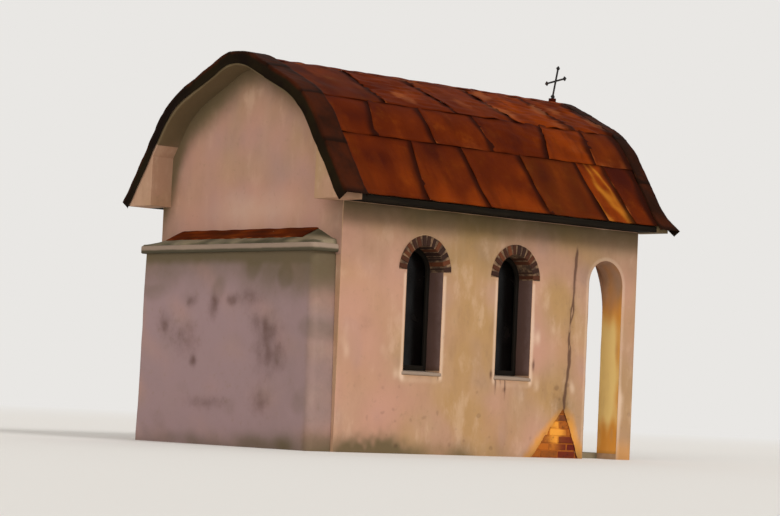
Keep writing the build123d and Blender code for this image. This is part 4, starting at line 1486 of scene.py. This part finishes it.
class CHAPEL_OT_door(bpy.types.Operator):
    """Make the door leaf of upright planks."""

    bl_idname = "chapel.door"
    bl_label = "Plank door"

    def execute(self, context):
        low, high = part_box("door_leaf")
        count = 5
        width = (high.y - low.y) / count
        depth = high.x - low.x - 0.002
        planks = []
        for number in range(count):
            x, y = (low.x + high.x) / 2 - 0.001 * (number % 2), low.y + (number + 0.5) * width
            ends = (x, y, low.z), (x, y, high.z)
            planks.append(bar(*ends, (0, 1, 0), width - 0.003, depth, 0.005, 6, tone=0.2 * number))
        make_piece("door_planks", planks, "planks", ("door_leaf",), smooth=False)
        return {"FINISHED"}


class CHAPEL_OT_stage(bpy.types.Operator):
    """Set the pale floor, the soft lights and the photograph's camera."""

    bl_idname = "chapel.stage"
    bl_label = "Floor, lights and camera"

    def execute(self, context):
        scene = context.scene
        scene.view_settings.view_transform = "Standard"
        backdrop = linear("E9E7E4")

        # Matt pale card that turns into the backdrop far from the chapel
        floor = bpy.data.materials.new("pale_floor")
        tree = empty_tree(floor)
        card = add(tree, "BsdfPrincipled", {"Base Color": linear("E4E1DC"), "Roughness": 0.9}).outputs[0]
        place = add(tree, "TexCoord").outputs["Object"]
        distance = add(tree, "VectorMath", {}, {0: place}, operation="LENGTH").outputs["Value"]
        limits = {"From Min": 14.0, "From Max": 55.0}
        far = add(tree, "MapRange", limits, {"Value": distance}, interpolation_type="SMOOTHSTEP")
        glow = add(tree, "Emission", {"Color": backdrop, "Strength": 1.0}).outputs[0]
        both = add(tree, "MixShader", {}, {0: far.outputs["Result"], 1: card, 2: glow}).outputs[0]
        add(tree, "OutputMaterial", {}, {"Surface": both})
        mesh = bpy.data.meshes.new("floor")
        reach = 150.0
        corners = [(-reach, -reach, 0), (reach, -reach, 0), (reach, reach, 0), (-reach, reach, 0)]
        mesh.from_pydata(corners, [], [(0, 1, 2, 3)])
        mesh.materials.append(floor)
        ground = bpy.data.objects.new("floor", mesh)
        scene.collection.objects.link(ground)

        # Soft light from all round, and the plain backdrop where the sky is seen, mirrored or looked through
        world = bpy.data.worlds.new("studio")
        scene.world = world
        tree = empty_tree(world)
        rays = add(tree, "LightPath").outputs
        seen = rays["Is Camera Ray"]
        for kind in ("Glossy", "Transmission"):
            seen = add(tree, "Math", {}, {0: seen, 1: rays[f"Is {kind} Ray"]}, operation="MAXIMUM").outputs[0]
        light = add(tree, "Background", {"Color": linear("FFFAF4"), "Strength": 0.45}).outputs[0]
        shown = add(tree, "Background", {"Color": backdrop, "Strength": 1.0}).outputs[0]
        both = add(tree, "MixShader", {}, {0: seen, 1: light, 2: shown}).outputs[0]
        add(tree, "OutputWorld", {}, {"Surface": both})
        for name, direction, strength, angle in (
            ("key", (-0.10, 0.78, -0.62), 1.4, 18.0),
            ("fill", (0.80, 0.55, -0.28), 1.2, 50.0),
            ("back", (-0.55, -0.45, -0.70), 0.45, 60.0),
        ):
            lamp = bpy.data.lights.new(name, "SUN")
            lamp.energy = strength
            lamp.angle = math.radians(angle)
            holder = bpy.data.objects.new(name, lamp)
            holder.rotation_mode = "QUATERNION"
            holder.rotation_quaternion = Vector(direction).to_track_quat("-Z", "Y")
            scene.collection.objects.link(holder)

        # The photograph's camera, turned to the chapel's middle and zoomed in on it
        yaw, pitch, roll = (math.radians(value) for value in (CAMERA_YAW, CAMERA_PITCH, CAMERA_ROLL))
        forward = Vector((math.cos(yaw) * math.cos(pitch), math.sin(yaw) * math.cos(pitch), math.sin(pitch)))
        level = Vector((math.sin(yaw), -math.cos(yaw), 0.0))
        upright = level.cross(forward)
        right = math.cos(roll) * level + math.sin(roll) * upright
        up = math.cos(roll) * upright - math.sin(roll) * level
        photo = Matrix((right, up, -forward)).transposed()
        aim = Vector((PHOTO_AIM[0] - PHOTO_SIZE[0] / 2, PHOTO_SIZE[1] / 2 - PHOTO_AIM[1], -PHOTO_FOCAL))
        turned = Vector((0, 0, -1)).rotation_difference(aim.normalized()).to_matrix()
        camera = bpy.data.cameras.new("camera")
        camera.sensor_width = SENSOR
        camera.lens = PHOTO_ZOOM * PHOTO_FOCAL / PHOTO_SIZE[0] * SENSOR
        camera.clip_start = 0.1
        camera.clip_end = 500.0
        viewer = bpy.data.objects.new("camera", camera)
        viewer.matrix_world = Matrix.Translation(CAMERA_PLACE) @ (photo @ turned).to_4x4()
        scene.collection.objects.link(viewer)
        scene.camera = viewer
        return {"FINISHED"}


OPERATORS = (
    CHAPEL_OT_frame_finishes,
    CHAPEL_OT_wall_plaster,
    CHAPEL_OT_bare_patch,
    CHAPEL_OT_windows,
    CHAPEL_OT_porch,
    CHAPEL_OT_apse_top,
    CHAPEL_OT_roof_sheets,
    CHAPEL_OT_rim_covers,
    CHAPEL_OT_eave_boards,
    CHAPEL_OT_door,
    CHAPEL_OT_stage,
)


class CHAPEL_PT_sidebar(bpy.types.Panel):
    """Sizes, colours and steps of the chapel's dressing."""

    bl_idname = "CHAPEL_PT_sidebar"
    bl_label = "Small chapel"
    bl_space_type = "VIEW_3D"
    bl_region_type = "UI"
    bl_category = "Chapel"

    def draw(self, context):
        for group in (context.scene.chapel_sizes, context.scene.chapel_colours):
            for key in group.__annotations__:
                self.layout.prop(group, key)
        for operator in OPERATORS:
            self.layout.operator(operator.bl_idname)


CLASSES = (ChapelSizes, ChapelColours, *OPERATORS, CHAPEL_PT_sidebar)


def register():
    """Register the classes and put both groups of settings on the scene."""
    for item in CLASSES:
        bpy.utils.register_class(item)
    bpy.types.Scene.chapel_sizes = bpy.props.PointerProperty(type=ChapelSizes)
    bpy.types.Scene.chapel_colours = bpy.props.PointerProperty(type=ChapelColours)


def unregister():
    """Take back what register did."""
    del bpy.types.Scene.chapel_sizes
    del bpy.types.Scene.chapel_colours
    for item in reversed(CLASSES):
        bpy.utils.unregister_class(item)


def main():
    """Dress the whole chapel."""
    register()
    for operator in OPERATORS:
        group, name = operator.bl_idname.split(".")
        getattr(getattr(bpy.ops, group), name)()


if __name__ == "__main__":
    main()
